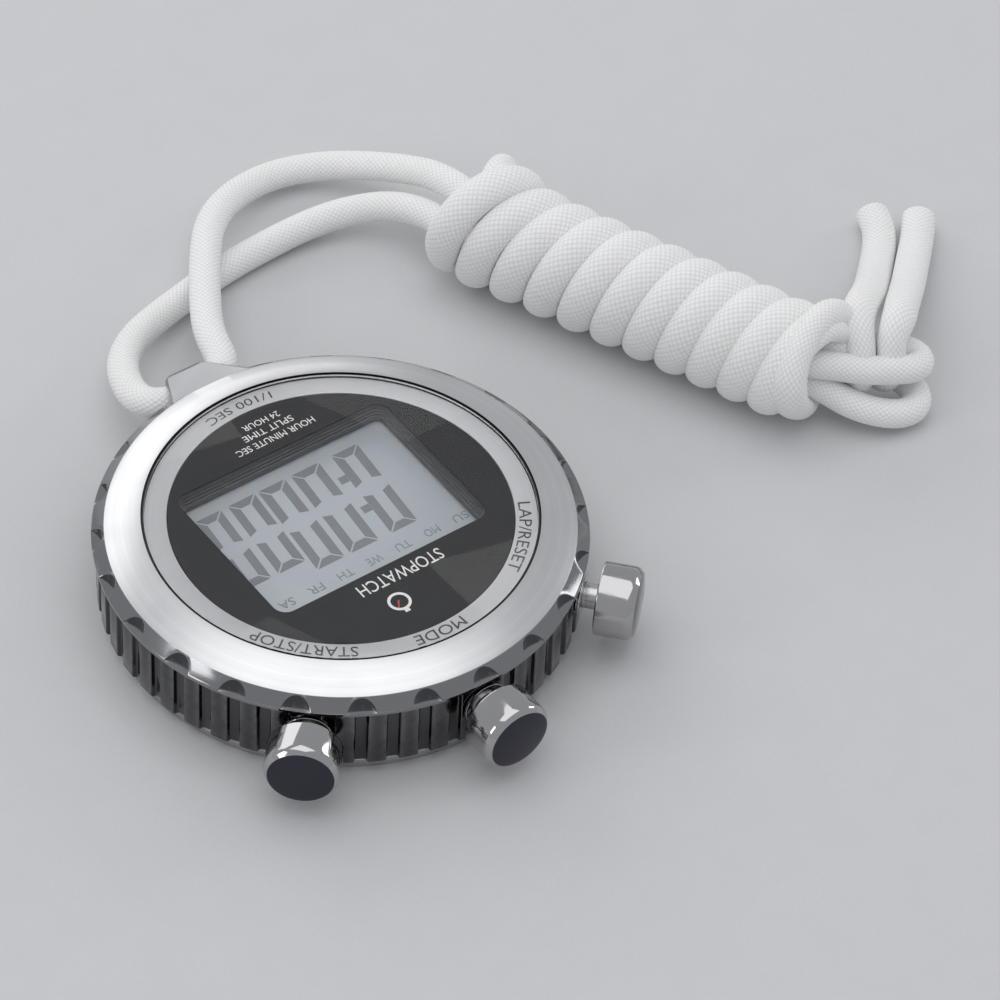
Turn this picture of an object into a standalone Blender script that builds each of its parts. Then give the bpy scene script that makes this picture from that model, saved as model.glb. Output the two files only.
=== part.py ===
"""A digital stopwatch in a round metal case, with three push buttons, a lug and a braided neck cord.

The centre of the back cover's underside is the origin. +Z points out of the display, +Y at 12 o'clock
and +X to the reader's right. Sizes below are in millimetres, and the scene is in metres.
"""

import math

import bmesh
import bpy
from mathutils import Matrix, Vector

MM = 0.001

# ---- driving dimensions ------------------------------------------------------------------------

CASE_RADIUS = 31.0          # the thin flange, the widest part of the case
CASE_HEIGHT = 14.5          # from the back cover to the bezel's inner edge
SEAT_GAP = 0.3              # between pieces that touch
THIN_GAP = 0.15             # between the thin layers of the display and the board
SLIDE_GAP = 0.1             # round a piece that slides in another

# how many flat sides a round piece has, by its size
BEZEL_SIDES = 96
BORE_SIDES = 72
LARGE_SIDES = 48
MIDDLE_SIDES = 36
CAP_SIDES = 32
SMALL_SIDES = 20
TINY_SIDES = 16

# bezel
BEZEL_DEPTH = 3.5           # from the bezel's inner edge down to the underside of its flange
FLANGE_THICKNESS = 0.5
CHAMFER_WIDTH = 1.6         # polished slope between the flange and the cone
CONE_WIDTH = 4.6            # satin slope that frames the lens
CONE_DROP = 1.6
NOTCH_COUNT = 24
NOTCH_RADIUS = 1.9

# case body
RIB_INSET = 0.5             # from the flange's edge to the tops of the ribs
RIB_COUNT = 48
GROOVE_WIDTH = 1.5
GROOVE_DEPTH = 0.6
RIB_CHAMFER = 0.5
CASE_WALL = 5.5

# back
BACK_THICKNESS = 1.5
BACK_INSET = 1.6            # from the flange's edge to the back cover's edge
BACK_EDGE = 0.4
SCREW_COUNT = 4
SCREW_SHANK = 1.4
SCREW_HEAD = 2.4
SCREW_HEAD_HEIGHT = 0.8
SCREW_DEPTH = 2.4           # how far a screw enters the case body
SLOT_WIDTH = 0.45
SLOT_DEPTH = 0.35
GASKET_WIDTH = 0.8
GASKET_HEIGHT = 0.7
GASKET_OUTSET = 0.6         # from the case's bore out to the gasket
SCREW_OUTSET = 0.6          # from the middle of the case's wall out to a screw

# lug
LUG_BASE_WIDTH = 11.2
LUG_TIP_WIDTH = 5.6
LUG_LENGTH = 6.1            # out from the crease where it meets the bezel
LUG_CREASE = 1.5            # from the flange's edge in to that crease
LUG_SLOPE = 0.385           # fall for each millimetre outwards
LUG_DEPTH = 9.0             # from the bezel's shoulder down to the lug's underside
LUG_CORNER = 0.9
TUNNEL_DIAMETER = 4.4
TUNNEL_WALL = 0.6           # at the lug's tip
TUNNEL_ROOF = 0.75          # above the tunnel

# lens and what lies under it
LENS_THICKNESS = 0.6
LENS_SIT = 0.1              # the lens lies this far below the bezel's inner edge
LENS_GROOVE = 0.3           # between the lens and the bezel, where the gasket sits
DIAL_RING_WIDTH = 2.8
DIAL_THICKNESS = 0.25
WINDOW_WIDTH = 31.4
WINDOW_HEIGHT = 23.9
WINDOW_Y = -2.0
WINDOW_CORNER = 1.8
WELL_HEIGHT = 2.15          # the stepped frame between the face and the display glass
WELL_STEP = 0.4
WELL_STEPS = 2
PANEL_THICKNESS = 1.9
PANEL_MARGIN = 1.6          # display glass beyond the well's lowest opening
REFLECTOR_THICKNESS = 0.15
REFLECTOR_GAP = 0.6         # between the reflector and the rubber connectors

# electronics
BOARD_THICKNESS = 1.0
BATTERY_HEADROOM = 0.5      # from the battery's top up to the circuit board
BOARD_RIM = 3.0             # from the case's bore in to the board's edge
HOLDER_RIM = 0.8
BATTERY_DIAMETER = 20.0
BATTERY_HEIGHT = 3.2
BATTERY_RIM = 0.6           # the step round the battery's top
BATTERY_LIFT = 0.4          # from the holder's underside up to the battery
POCKET_WALL = 1.2
CLIP_SHEET = 0.2
CLIP_WIDTH = 4.0
CLIP_ROOM = 0.5             # round the battery's clip in its pocket
CONTACT_LENGTH = 12.0
BUZZER_DIAMETER = 12.0
BUZZER_THICKNESS = 0.5
BUZZER_SPRING_DIAMETER = 3.0
BUZZER_SPRING_TURNS = 4
CHIP_SIZE = 9.0
CHIP_HEIGHT = 0.9
QUARTZ_DIAMETER = 1.5
QUARTZ_LENGTH = 5.0
ZEBRA_WIDTH = 1.8
ZEBRA_SHORTFALL = 2.0       # at each end of the display glass
LEAF_SHEET = 0.15
LEAF_WIDTH = 3.0
LEAF_REACH = 1.1            # from a button's axis up to the top of its leaf
LEAF_FOOT = 2.4
LEAF_REST_GAP = 0.12        # between a fully pressed rod and its leaf
LEAF_OVERHANG = 0.4         # from the board's edge out to a leaf
CHIP_CORNER = 1.5
CHIP_DRAFT = 0.5            # its sides lean in by this much at the top
BOARD_SCREW_HEAD = 2.6
BOARD_SCREW_SHANK = 1.2
BOARD_SCREW_LENGTH = 3.0
BOARD_SCREW_EDGE = 5.0      # from the board's edge in to a screw

# buttons
BUTTONS = {"start": -42.0, "mode": 0.0, "lap": 42.0}     # degrees from 12 o'clock, anticlockwise
BUTTON_RISE = 1.25          # from the middle of the case body's height up to a button's axis
BUTTON_TRAVEL = 1.0
CAP_DIAMETER = 9.4
CAP_LENGTH = 5.2
CAP_REACH = 7.2             # from the flange's edge to the cap's outer face
CAP_EDGE = 0.9
STEM_DIAMETER = 3.2
STEM_GRIP = 2.5             # how far the stem enters its cap
STEM_END = 1.8              # from the flange's edge in to the stem's inner shoulder
ROD_DIAMETER = 1.6
BUSHING_WALL = 0.75
BUSHING_FLOOR = 0.5
COLLAR_RIM = 0.55
COLLAR_THICKNESS = 0.4
SPRING_WIRE = 0.3
SPRING_DIAMETER = 3.0
SPRING_TURNS = 4
SEAL_WIRE = 0.5
SEAL_INSET = 0.9            # from the flange's edge in to the seal's middle
CIRCLIP_THICKNESS = 0.4
CIRCLIP_DIAMETER = 3.2
CIRCLIP_OPENING = 70.0
CIRCLIP_GROOVE = 0.2        # how deep its groove in the rod is

# neck cord
CORD_DIAMETER = 4.0
HANK_RADIUS = 8.1
BIGHT_RADIUS = 5.6
ROUTE_STEPS = 24            # read from the smooth curve between two hand-placed points

# ---- the cord's route --------------------------------------------------------------------------

# Both ends of the cord leave the lug's tunnel. Each list is a centre line, laid out by hand.
LEG_A = [
    (0.15, -32.8, 8.6), (3.2, -32.8, 8.6), (5.7, -33.9, 8.3), (6.4, -36.9, 7.6), (5.2, -41.3, 6.6),
    (2.6, -45.8, 5.3), (-1.8, -49.6, 4.0), (-7.3, -52.3, 2.7), (-13.3, -54.2, 2.1), (-19.5, -55.6, 2.05),
    (-26.0, -56.3, 2.05), (-31.5, -56.4, 2.3), (-36.4, -55.6, 3.0), (-40.6, -53.5, 4.1), (-43.6, -50.6, 5.3),
    (-45.4, -47.0, 6.2), (-46.6, -43.2, 6.4),
]
LEG_B = [
    (-0.15, -32.8, 8.6), (-3.1, -32.8, 8.6), (-5.5, -34.0, 8.6), (-6.6, -37.0, 8.4), (-8.0, -41.6, 7.9),
    (-10.8, -46.6, 7.2), (-14.0, -51.6, 6.7), (-17.3, -56.3, 6.4), (-20.8, -60.6, 5.6), (-25.4, -64.2, 4.4),
    (-31.0, -66.6, 3.1), (-37.0, -66.8, 2.5), (-42.3, -63.9, 3.2), (-46.3, -59.0, 4.8), (-48.8, -53.4, 7.0),
    (-49.7, -49.0, 8.8), (-50.1, -45.0, 9.6),
]
TAIL_A = [
    (-76.9, 6.9, 12.6), (-79.7, 4.6, 11.8), (-83.2, 1.8, 9.3), (-87.2, -1.9, 6.1), (-91.3, -5.9, 3.5),
    (-95.2, -9.7, 2.1), (-98.0, -13.0, 2.05), (-99.3, -16.9, 2.05),
]
TAIL_B = [
    (-80.9, 10.6, 12.6), (-83.6, 7.9, 11.4), (-87.6, 4.2, 8.6), (-92.1, 0.0, 5.9), (-96.6, -4.4, 3.6),
    (-101.0, -8.6, 2.2), (-104.6, -12.6, 2.05),
]
HANK_START = (-48.3, -40.1)
HANK_END = (-69.5, 9.2)
BIGHT_END = (-77.7, 15.9)

# ---- sizes that follow ---------------------------------------------------------------------------

flange_z = CASE_HEIGHT - BEZEL_DEPTH
body_bottom = BACK_THICKNESS + SEAT_GAP
body_top = flange_z - SEAT_GAP
rib_radius = CASE_RADIUS - RIB_INSET
bore_radius = rib_radius - CASE_WALL
back_radius = CASE_RADIUS - BACK_INSET
shoulder_radius = CASE_RADIUS - CHAMFER_WIDTH
shoulder_z = CASE_HEIGHT - CONE_DROP
mouth_radius = shoulder_radius - CONE_WIDTH

lens_top = CASE_HEIGHT - LENS_SIT
lens_bottom = lens_top - LENS_THICKNESS
lens_radius = mouth_radius - LENS_GROOVE
dial_top = lens_bottom - THIN_GAP
dial_bottom = dial_top - DIAL_THICKNESS
ring_outer = lens_radius - SLIDE_GAP
ring_inner = ring_outer - DIAL_RING_WIDTH
well_top = dial_bottom - THIN_GAP
well_bottom = well_top - WELL_HEIGHT
panel_top = well_bottom - THIN_GAP
panel_bottom = panel_top - PANEL_THICKNESS
panel_width = WINDOW_WIDTH - 2 * WELL_STEP * WELL_STEPS + 2 * PANEL_MARGIN
panel_height = WINDOW_HEIGHT - 2 * WELL_STEP * WELL_STEPS + 2 * PANEL_MARGIN

battery_bottom = body_bottom + BATTERY_LIFT
battery_top = battery_bottom + BATTERY_HEIGHT
board_bottom = battery_top + BATTERY_HEADROOM
board_top = board_bottom + BOARD_THICKNESS
board_radius = bore_radius - BOARD_RIM
holder_radius = bore_radius - HOLDER_RIM
holder_top = board_bottom - SEAT_GAP
battery_pocket = BATTERY_DIAMETER / 2 + CLIP_SHEET + CLIP_ROOM
battery_y = -(holder_radius - POCKET_WALL - battery_pocket)
buzzer_pocket = BUZZER_DIAMETER / 2 + SEAT_GAP
buzzer_y = holder_radius - POCKET_WALL - buzzer_pocket

screw_circle = (back_radius + bore_radius) / 2 + SCREW_OUTSET
gasket_inner = bore_radius + GASKET_OUTSET

button_z = (body_bottom + body_top) / 2 + BUTTON_RISE
cap_face = CASE_RADIUS + CAP_REACH
cap_back = cap_face - CAP_LENGTH
stem_shoulder = CASE_RADIUS - STEM_END
bushing_inner = STEM_DIAMETER / 2 + SLIDE_GAP
bushing_outer = bushing_inner + BUSHING_WALL
bushing_start = bore_radius - THIN_GAP / 3
collar_y = CASE_RADIUS - COLLAR_THICKNESS
leaf_y = board_radius + LEAF_OVERHANG
rod_tip = leaf_y + LEAF_SHEET / 2 + LEAF_REST_GAP + BUTTON_TRAVEL

crease_y = -(CASE_RADIUS - LUG_CREASE)
lug_tip_y = crease_y - LUG_LENGTH
tunnel_y = lug_tip_y + TUNNEL_WALL + TUNNEL_DIAMETER / 2


def lug_top(y):
    """Height of the lug's sloping top, which carries on from the bezel's cone."""
    return shoulder_z - LUG_SLOPE * (crease_y - y)


tunnel_z = lug_top(tunnel_y) - TUNNEL_ROOF - TUNNEL_DIAMETER / 2


# ---- modelling tools -----------------------------------------------------------------------------

def clear_scene():
    for obj in list(bpy.data.objects):
        bpy.data.objects.remove(obj, do_unlink=True)


def finish_material(name, color, roughness, metallic=0.0, alpha=1.0):
    made = bpy.data.materials.new(name)
    made.use_nodes = True
    shader = made.node_tree.nodes["Principled BSDF"]
    shader.inputs["Base Color"].default_value = (*color, 1.0)
    shader.inputs["Roughness"].default_value = roughness
    shader.inputs["Metallic"].default_value = metallic
    shader.inputs["Alpha"].default_value = alpha
    made.diffuse_color = (*color, alpha)
    return made


FINISHES = {
    "satin": ((0.80, 0.80, 0.82), 0.35, 1.0),
    "chrome": ((0.32, 0.32, 0.34), 0.12, 1.0),
    "polished": ((0.82, 0.82, 0.84), 0.12, 1.0),
    "steel": ((0.62, 0.62, 0.62), 0.30, 1.0),
    "brass": ((0.78, 0.60, 0.30), 0.30, 1.0),
    "ring": ((0.70, 0.70, 0.73), 0.40, 0.6),
    "face": ((0.03, 0.03, 0.032), 0.45, 0.0),
    "glass": ((0.95, 0.97, 0.98), 0.03, 0.0, 0.2),
    "display": ((0.32, 0.36, 0.39), 0.25, 0.0),
    "foil": ((0.70, 0.71, 0.72), 0.35, 0.8),
    "grey plastic": ((0.22, 0.22, 0.23), 0.50, 0.0),
    "white plastic": ((0.75, 0.75, 0.72), 0.50, 0.0),
    "rubber": ((0.02, 0.02, 0.02), 0.70, 0.0),
    "board": ((0.05, 0.20, 0.10), 0.45, 0.0),
    "epoxy": ((0.02, 0.02, 0.022), 0.30, 0.0),
    "cord": ((0.86, 0.86, 0.87), 0.85, 0.0),
}


def add_object(name, bm, finish, parent=None):
    """Turns a bmesh in millimetres into an object in metres with a material of its own."""
    bmesh.ops.recalc_face_normals(bm, faces=bm.faces)
    bmesh.ops.scale(bm, vec=(MM, MM, MM), verts=bm.verts)
    mesh = bpy.data.meshes.new(name)
    bm.to_mesh(mesh)
    bm.free()
    mesh.shade_smooth()
    mesh.set_sharp_from_angle(angle=math.radians(35))
    obj = bpy.data.objects.new(name, mesh)
    bpy.context.scene.collection.objects.link(obj)
    if finish:
        obj.data.materials.append(finish_material(name + " " + finish, *FINISHES[finish]))
    obj.parent = parent
    return obj


def add_cutter(name, bm, parent=None):
    obj = add_object(name, bm, None, parent)
    obj.hide_render = True
    obj.display_type = "WIRE"
    return obj


def combine(obj, tool, operation="DIFFERENCE"):
    modifier = obj.modifiers.new(tool.name, "BOOLEAN")
    modifier.operation = operation
    modifier.solver = "EXACT"
    modifier.object = tool


def turned(profile, segments):
    """A solid turned about Z. The profile is a list of (radius, height), closed unless it ends on the axis."""
    bm = bmesh.new()
    points = [bm.verts.new((radius, 0, height)) for radius, height in profile]
    edges = [bm.edges.new(pair) for pair in zip(points, points[1:])]
    if profile[0][0] > 0:
        edges.append(bm.edges.new((points[-1], points[0])))
    bmesh.ops.spin(bm, geom=points + edges, cent=(0, 0, 0), axis=(0, 0, 1), angle=2 * math.pi,
                   steps=segments, use_merge=True)
    bmesh.ops.remove_doubles(bm, verts=bm.verts, dist=1e-4)
    return bm


def disc(radius, low, high, segments):
    return turned([(0, low), (radius, low), (radius, high), (0, high)], segments)


def ring(inner, outer, low, high, segments):
    return turned([(inner, low), (outer, low), (outer, high), (inner, high)], segments)


def along_button(bm):
    """Turns a piece made about Z so that it lies on a button's axis, which is local +Y."""
    bmesh.ops.rotate(bm, cent=(0, 0, 0), matrix=Matrix.Rotation(-math.pi / 2, 3, "X"), verts=bm.verts)
    return bm


def moved(bm, x=0.0, y=0.0, z=0.0):
    bmesh.ops.translate(bm, vec=(x, y, z), verts=bm.verts)
    return bm


def prism(outline, low, high):
    """An outline in X and Y, extruded from low to high."""
    bm = bmesh.new()
    base = bm.faces.new([bm.verts.new((x, y, low)) for x, y in outline])
    grown = bmesh.ops.extrude_face_region(bm, geom=[base])["geom"]
    rising = [item for item in grown if isinstance(item, bmesh.types.BMVert)]
    bmesh.ops.translate(bm, vec=(0, 0, high - low), verts=rising)
    return bm


def block(width, depth, low, high, x=0.0, y=0.0):
    half_width, half_depth = width / 2, depth / 2
    corners = [(-half_width, -half_depth), (half_width, -half_depth), (half_width, half_depth),
               (-half_width, half_depth)]
    return moved(prism(corners, low, high), x, y)


def rounded_outline(width, depth, corner, steps=5):
    outline = []
    for quarter in range(4):
        turn = math.pi / 2 * quarter
        centre_x = (width / 2 - corner) * (1 if quarter in (0, 3) else -1)
        centre_y = (depth / 2 - corner) * (1 if quarter in (0, 1) else -1)
        for step in range(steps + 1):
            angle = turn + math.pi / 2 * step / steps
            outline.append((centre_x + corner * math.cos(angle), centre_y + corner * math.sin(angle)))
    return outline


def stacked(layers):
    """A solid through a stack of (outline, height) layers whose outlines have the same number of points."""
    outline, height = layers[0]
    bm = bmesh.new()
    points = [bm.verts.new((x, y, height)) for x, y in outline]
    base = top = bm.faces.new(points)
    for outline, height in layers[1:]:
        next_place = {point.co.to_tuple(): (x, y, height) for point, (x, y) in zip(points, outline)}
        grown = bmesh.ops.extrude_face_region(bm, geom=[top])["geom"]
        if top is not base:
            bmesh.ops.delete(bm, geom=[top], context="FACES_ONLY")
        top = next(item for item in grown if isinstance(item, bmesh.types.BMFace))
        by_place = {point.co.to_tuple(): point for point in top.verts}
        points = [by_place[point.co.to_tuple()] for point in points]
        for point in points:
            point.co = next_place[point.co.to_tuple()]
    return bm


def rib_outline(inset=0.0):
    """The ribbed edge of the case: a groove at 12 o'clock and at every equal step round from it."""
    outline = []
    half_groove = GROOVE_WIDTH / 2 / rib_radius
    pitch = 2 * math.pi / RIB_COUNT
    for rib in range(RIB_COUNT):
        middle = math.pi / 2 + rib * pitch
        for angle, depth in ((-half_groove, 0.0), (-half_groove / 2, GROOVE_DEPTH), (half_groove / 2, GROOVE_DEPTH),
                             (half_groove, 0.0)):
            radius = rib_radius - inset - depth
            outline.append((radius * math.cos(middle + angle), radius * math.sin(middle + angle)))
    return outline


def smooth_route(points, spacing):
    """Points a fixed distance apart on the smooth curve through hand-placed ones."""
    points = [Vector(point) for point in points]
    ends = [2 * points[0] - points[1]] + points + [2 * points[-1] - points[-2]]
    fine = []
    for before, start, end, after in zip(ends, ends[1:], ends[2:], ends[3:]):
        for step in range(ROUTE_STEPS):
            t = step / ROUTE_STEPS
            fine.append(0.5 * (2 * start + (end - before) * t + (2 * before - 5 * start + 4 * end - after) * t ** 2
                               + (3 * start - before - 3 * end + after) * t ** 3))
    fine.append(points[-1])
    lengths = [0.0]
    for start, end in zip(fine, fine[1:]):
        lengths.append(lengths[-1] + (end - start).length)
    count = max(2, round(lengths[-1] / spacing))
    route, at = [fine[0]], 1
    for step in range(1, count):
        target = lengths[-1] * step / count
        while lengths[at] < target:
            at += 1
        share = (target - lengths[at - 1]) / (lengths[at] - lengths[at - 1])
        route.append(fine[at - 1].lerp(fine[at], share))
    return route + [fine[-1]]


def add_tube(name, route, radii, finish, sides_level):
    """A round tube with closed ends along a route, with a radius for each point."""
    curve = bpy.data.curves.new(name, "CURVE")
    curve.dimensions = "3D"
    curve.bevel_depth = MM
    curve.bevel_resolution = sides_level
    curve.use_fill_caps = True
    spline = curve.splines.new("POLY")
    spline.points.add(len(route) - 1)
    for point, place, radius in zip(spline.points, route, radii):
        point.co = (*(Vector(place) * MM), 1.0)
        point.radius = radius
    obj = bpy.data.objects.new(name, curve)
    bpy.context.scene.collection.objects.link(obj)
    obj.data.materials.append(finish_material(name + " " + finish, *FINISHES[finish]))
    return obj


def coil_route(radius, start, end, turns, points_per_turn=9):
    count = turns * points_per_turn
    route = []
    for step in range(count + 1):
        angle = 2 * math.pi * step / points_per_turn
        route.append((radius * math.cos(angle), radius * math.sin(angle), start + (end - start) * step / count))
    return route


# ---- case ----------------------------------------------------------------------------------------

def make_case_body():
    layers = [(rib_outline(RIB_CHAMFER), body_bottom), (rib_outline(), body_bottom + RIB_CHAMFER),
              (rib_outline(), body_top - RIB_CHAMFER), (rib_outline(RIB_CHAMFER), body_top)]
    body = add_object("case_body", stacked(layers), "chrome")
    bore = add_cutter("case_bore_cutter", disc(bore_radius, 0, CASE_HEIGHT, BORE_SIDES))
    combine(body, bore)
    lug = add_cutter("lug_block", lug_block())
    combine(body, lug, "UNION")
    tunnel = turned([(0, -LUG_BASE_WIDTH), (TUNNEL_DIAMETER / 2, -LUG_BASE_WIDTH),
                     (TUNNEL_DIAMETER / 2, LUG_BASE_WIDTH), (0, LUG_BASE_WIDTH)], SMALL_SIDES)
    bmesh.ops.rotate(tunnel, cent=(0, 0, 0), matrix=Matrix.Rotation(math.pi / 2, 3, "Y"), verts=tunnel.verts)
    combine(body, add_cutter("tunnel_cutter", moved(tunnel, 0, tunnel_y, tunnel_z)))
    for number in range(SCREW_COUNT):
        x, y = screw_place(number)
        hole = disc(SCREW_SHANK / 2 + SLIDE_GAP, 0, body_bottom + SCREW_DEPTH + SEAT_GAP, TINY_SIDES)
        combine(body, add_cutter(f"body_screw_cutter_{number + 1}", moved(hole, x, y)))
    return body


def lug_block():
    base, tip = LUG_BASE_WIDTH / 2, LUG_TIP_WIDTH / 2
    bottom = shoulder_z - LUG_DEPTH
    bm = prism([(-base, crease_y), (-tip, lug_tip_y), (tip, lug_tip_y), (base, crease_y)], bottom, CASE_HEIGHT)
    for point in bm.verts:
        if point.co.z > shoulder_z:
            point.co.z = lug_top(point.co.y)
    tip_edges = [edge for edge in bm.edges
                 if all(point.co.y < lug_tip_y + 1e-3 for point in edge.verts)
                 and abs(edge.verts[0].co.x - edge.verts[1].co.x) < 1e-3]
    bmesh.ops.bevel(bm, geom=tip_edges, offset=LUG_CORNER, segments=3, profile=0.5, affect="EDGES", material=-1)
    return bm


def make_bezel():
    profile = [(CASE_RADIUS, flange_z), (CASE_RADIUS, flange_z + FLANGE_THICKNESS), (shoulder_radius, shoulder_z),
               (mouth_radius, CASE_HEIGHT), (mouth_radius, flange_z)]
    bezel = add_object("bezel", turned(profile, BEZEL_SIDES), "satin")
    notches = bmesh.new()
    for notch in range(NOTCH_COUNT):
        angle = math.pi / 2 + 2 * math.pi * notch / NOTCH_COUNT
        made = bmesh.ops.create_cone(notches, cap_ends=True, segments=12, radius1=NOTCH_RADIUS,
                                     radius2=NOTCH_RADIUS, depth=CASE_HEIGHT)
        centre = CASE_RADIUS + CHAMFER_WIDTH / 4
        bmesh.ops.translate(notches, verts=made["verts"], vec=(
            centre * math.cos(angle), centre * math.sin(angle),
            flange_z + FLANGE_THICKNESS + CASE_HEIGHT / 2))
    combine(bezel, add_cutter("notch_cutter", notches))
    relief = block(LUG_BASE_WIDTH + 2 * SEAT_GAP, 2 * LUG_LENGTH, 0, 2 * CASE_HEIGHT, 0,
                   crease_y + SEAT_GAP - LUG_LENGTH)
    combine(bezel, add_cutter("bezel_lug_cutter", relief))
    return bezel


def screw_place(number):
    angle = 2 * math.pi * (number + 0.5) / SCREW_COUNT
    return screw_circle * math.cos(angle), screw_circle * math.sin(angle)


def make_back():
    groove_inner, groove_outer = gasket_inner - SLIDE_GAP, gasket_inner + GASKET_WIDTH + SLIDE_GAP
    gasket_low = body_bottom - THIN_GAP - GASKET_HEIGHT
    floor = gasket_low - THIN_GAP
    profile = [(0, 0), (back_radius - BACK_EDGE, 0), (back_radius, BACK_EDGE), (back_radius, BACK_THICKNESS),
               (groove_outer, BACK_THICKNESS), (groove_outer, floor), (groove_inner, floor),
               (groove_inner, BACK_THICKNESS), (0, BACK_THICKNESS)]
    cover = add_object("back_cover", turned(profile, LARGE_SIDES), "steel")
    gasket = ring(gasket_inner, gasket_inner + GASKET_WIDTH, gasket_low, gasket_low + GASKET_HEIGHT,
                  LARGE_SIDES)
    add_object("back_gasket", gasket, "rubber")
    head_low = THIN_GAP
    head_high = head_low + SCREW_HEAD_HEIGHT
    for number in range(SCREW_COUNT):
        x, y = screw_place(number)
        pocket = turned([(0, -1), (SCREW_HEAD / 2 + SLIDE_GAP, -1),
                         (SCREW_HEAD / 2 + SLIDE_GAP, head_high + SLIDE_GAP),
                         (SCREW_SHANK / 2 + SLIDE_GAP, head_high + SLIDE_GAP),
                         (SCREW_SHANK / 2 + SLIDE_GAP, 2 * BACK_THICKNESS), (0, 2 * BACK_THICKNESS)], SMALL_SIDES)
        combine(cover, add_cutter(f"back_screw_cutter_{number + 1}", moved(pocket, x, y)))
        add_screw(f"back_screw_{number + 1}", x, y, SCREW_HEAD / 2, SCREW_SHANK / 2, head_low, head_high,
                  body_bottom + SCREW_DEPTH)


def add_screw(name, x, y, head, shank, head_end, head_seat, tip):
    """A slotted screw whose head runs from head_end to head_seat and whose shank ends at tip."""
    screw = add_object(name, moved(turned([(0, head_end), (head, head_end), (head, head_seat), (shank, head_seat),
                                           (shank, tip), (0, tip)], SMALL_SIDES), x, y), "steel")
    towards = 1 if head_seat > head_end else -1
    low, high = sorted((head_end - towards, head_end + towards * SLOT_DEPTH))
    combine(screw, add_cutter(name + "_slot_cutter", block(3 * head, SLOT_WIDTH, low, high, x, y)))


# ---- lens and display ------------------------------------------------------------------------------

def window_outline(shrink=0.0):
    outline = rounded_outline(WINDOW_WIDTH - 2 * shrink, WINDOW_HEIGHT - 2 * shrink, WINDOW_CORNER)
    return [(x, y + WINDOW_Y) for x, y in outline]


def make_display():
    add_object("lens", disc(lens_radius, lens_bottom, lens_top, LARGE_SIDES), "glass")
    slack = LENS_GROOVE / 5
    add_object("lens_gasket", ring(lens_radius + slack, mouth_radius - slack, dial_bottom,
                                   lens_top - THIN_GAP, LARGE_SIDES), "rubber")
    add_object("dial_ring", ring(ring_inner, ring_outer, dial_bottom, dial_top, LARGE_SIDES), "ring")
    mask = add_object("face_mask", disc(ring_inner - SLIDE_GAP, dial_bottom, dial_top, LARGE_SIDES), "face")
    combine(mask, add_cutter("window_cutter", prism(window_outline(), 0, 2 * CASE_HEIGHT)))
    frame = add_object("lcd_frame", disc(ring_outer, well_bottom, well_top, LARGE_SIDES), "grey plastic")
    step_height = WELL_HEIGHT / (WELL_STEPS + 1)
    layers = [(window_outline(WELL_STEPS * WELL_STEP), well_bottom - 1)]
    for step in range(WELL_STEPS, 0, -1):
        height = well_top - step * step_height
        layers += [(window_outline(step * WELL_STEP), height), (window_outline((step - 1) * WELL_STEP), height)]
    layers.append((window_outline(), well_top + 1))
    combine(frame, add_cutter("well_cutter", stacked(layers)))
    add_object("lcd_panel", block(panel_width, panel_height, panel_bottom, panel_top, 0, WINDOW_Y), "display")
    strip_offset = panel_height / 2 - ZEBRA_WIDTH / 2 - SLIDE_GAP
    reflector_depth = 2 * (strip_offset - ZEBRA_WIDTH / 2 - REFLECTOR_GAP)
    reflector_top = panel_bottom - THIN_GAP
    add_object("lcd_reflector", block(panel_width, reflector_depth, reflector_top - REFLECTOR_THICKNESS,
                                      reflector_top, 0, WINDOW_Y), "foil")
    for side, name in ((1, "zebra_strip_top"), (-1, "zebra_strip_bottom")):
        strip = block(panel_width - 2 * ZEBRA_SHORTFALL, ZEBRA_WIDTH, board_top + THIN_GAP,
                      panel_bottom - THIN_GAP, 0, WINDOW_Y + side * strip_offset)
        add_object(name, strip, "rubber")


# ---- electronics -----------------------------------------------------------------------------------

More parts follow.
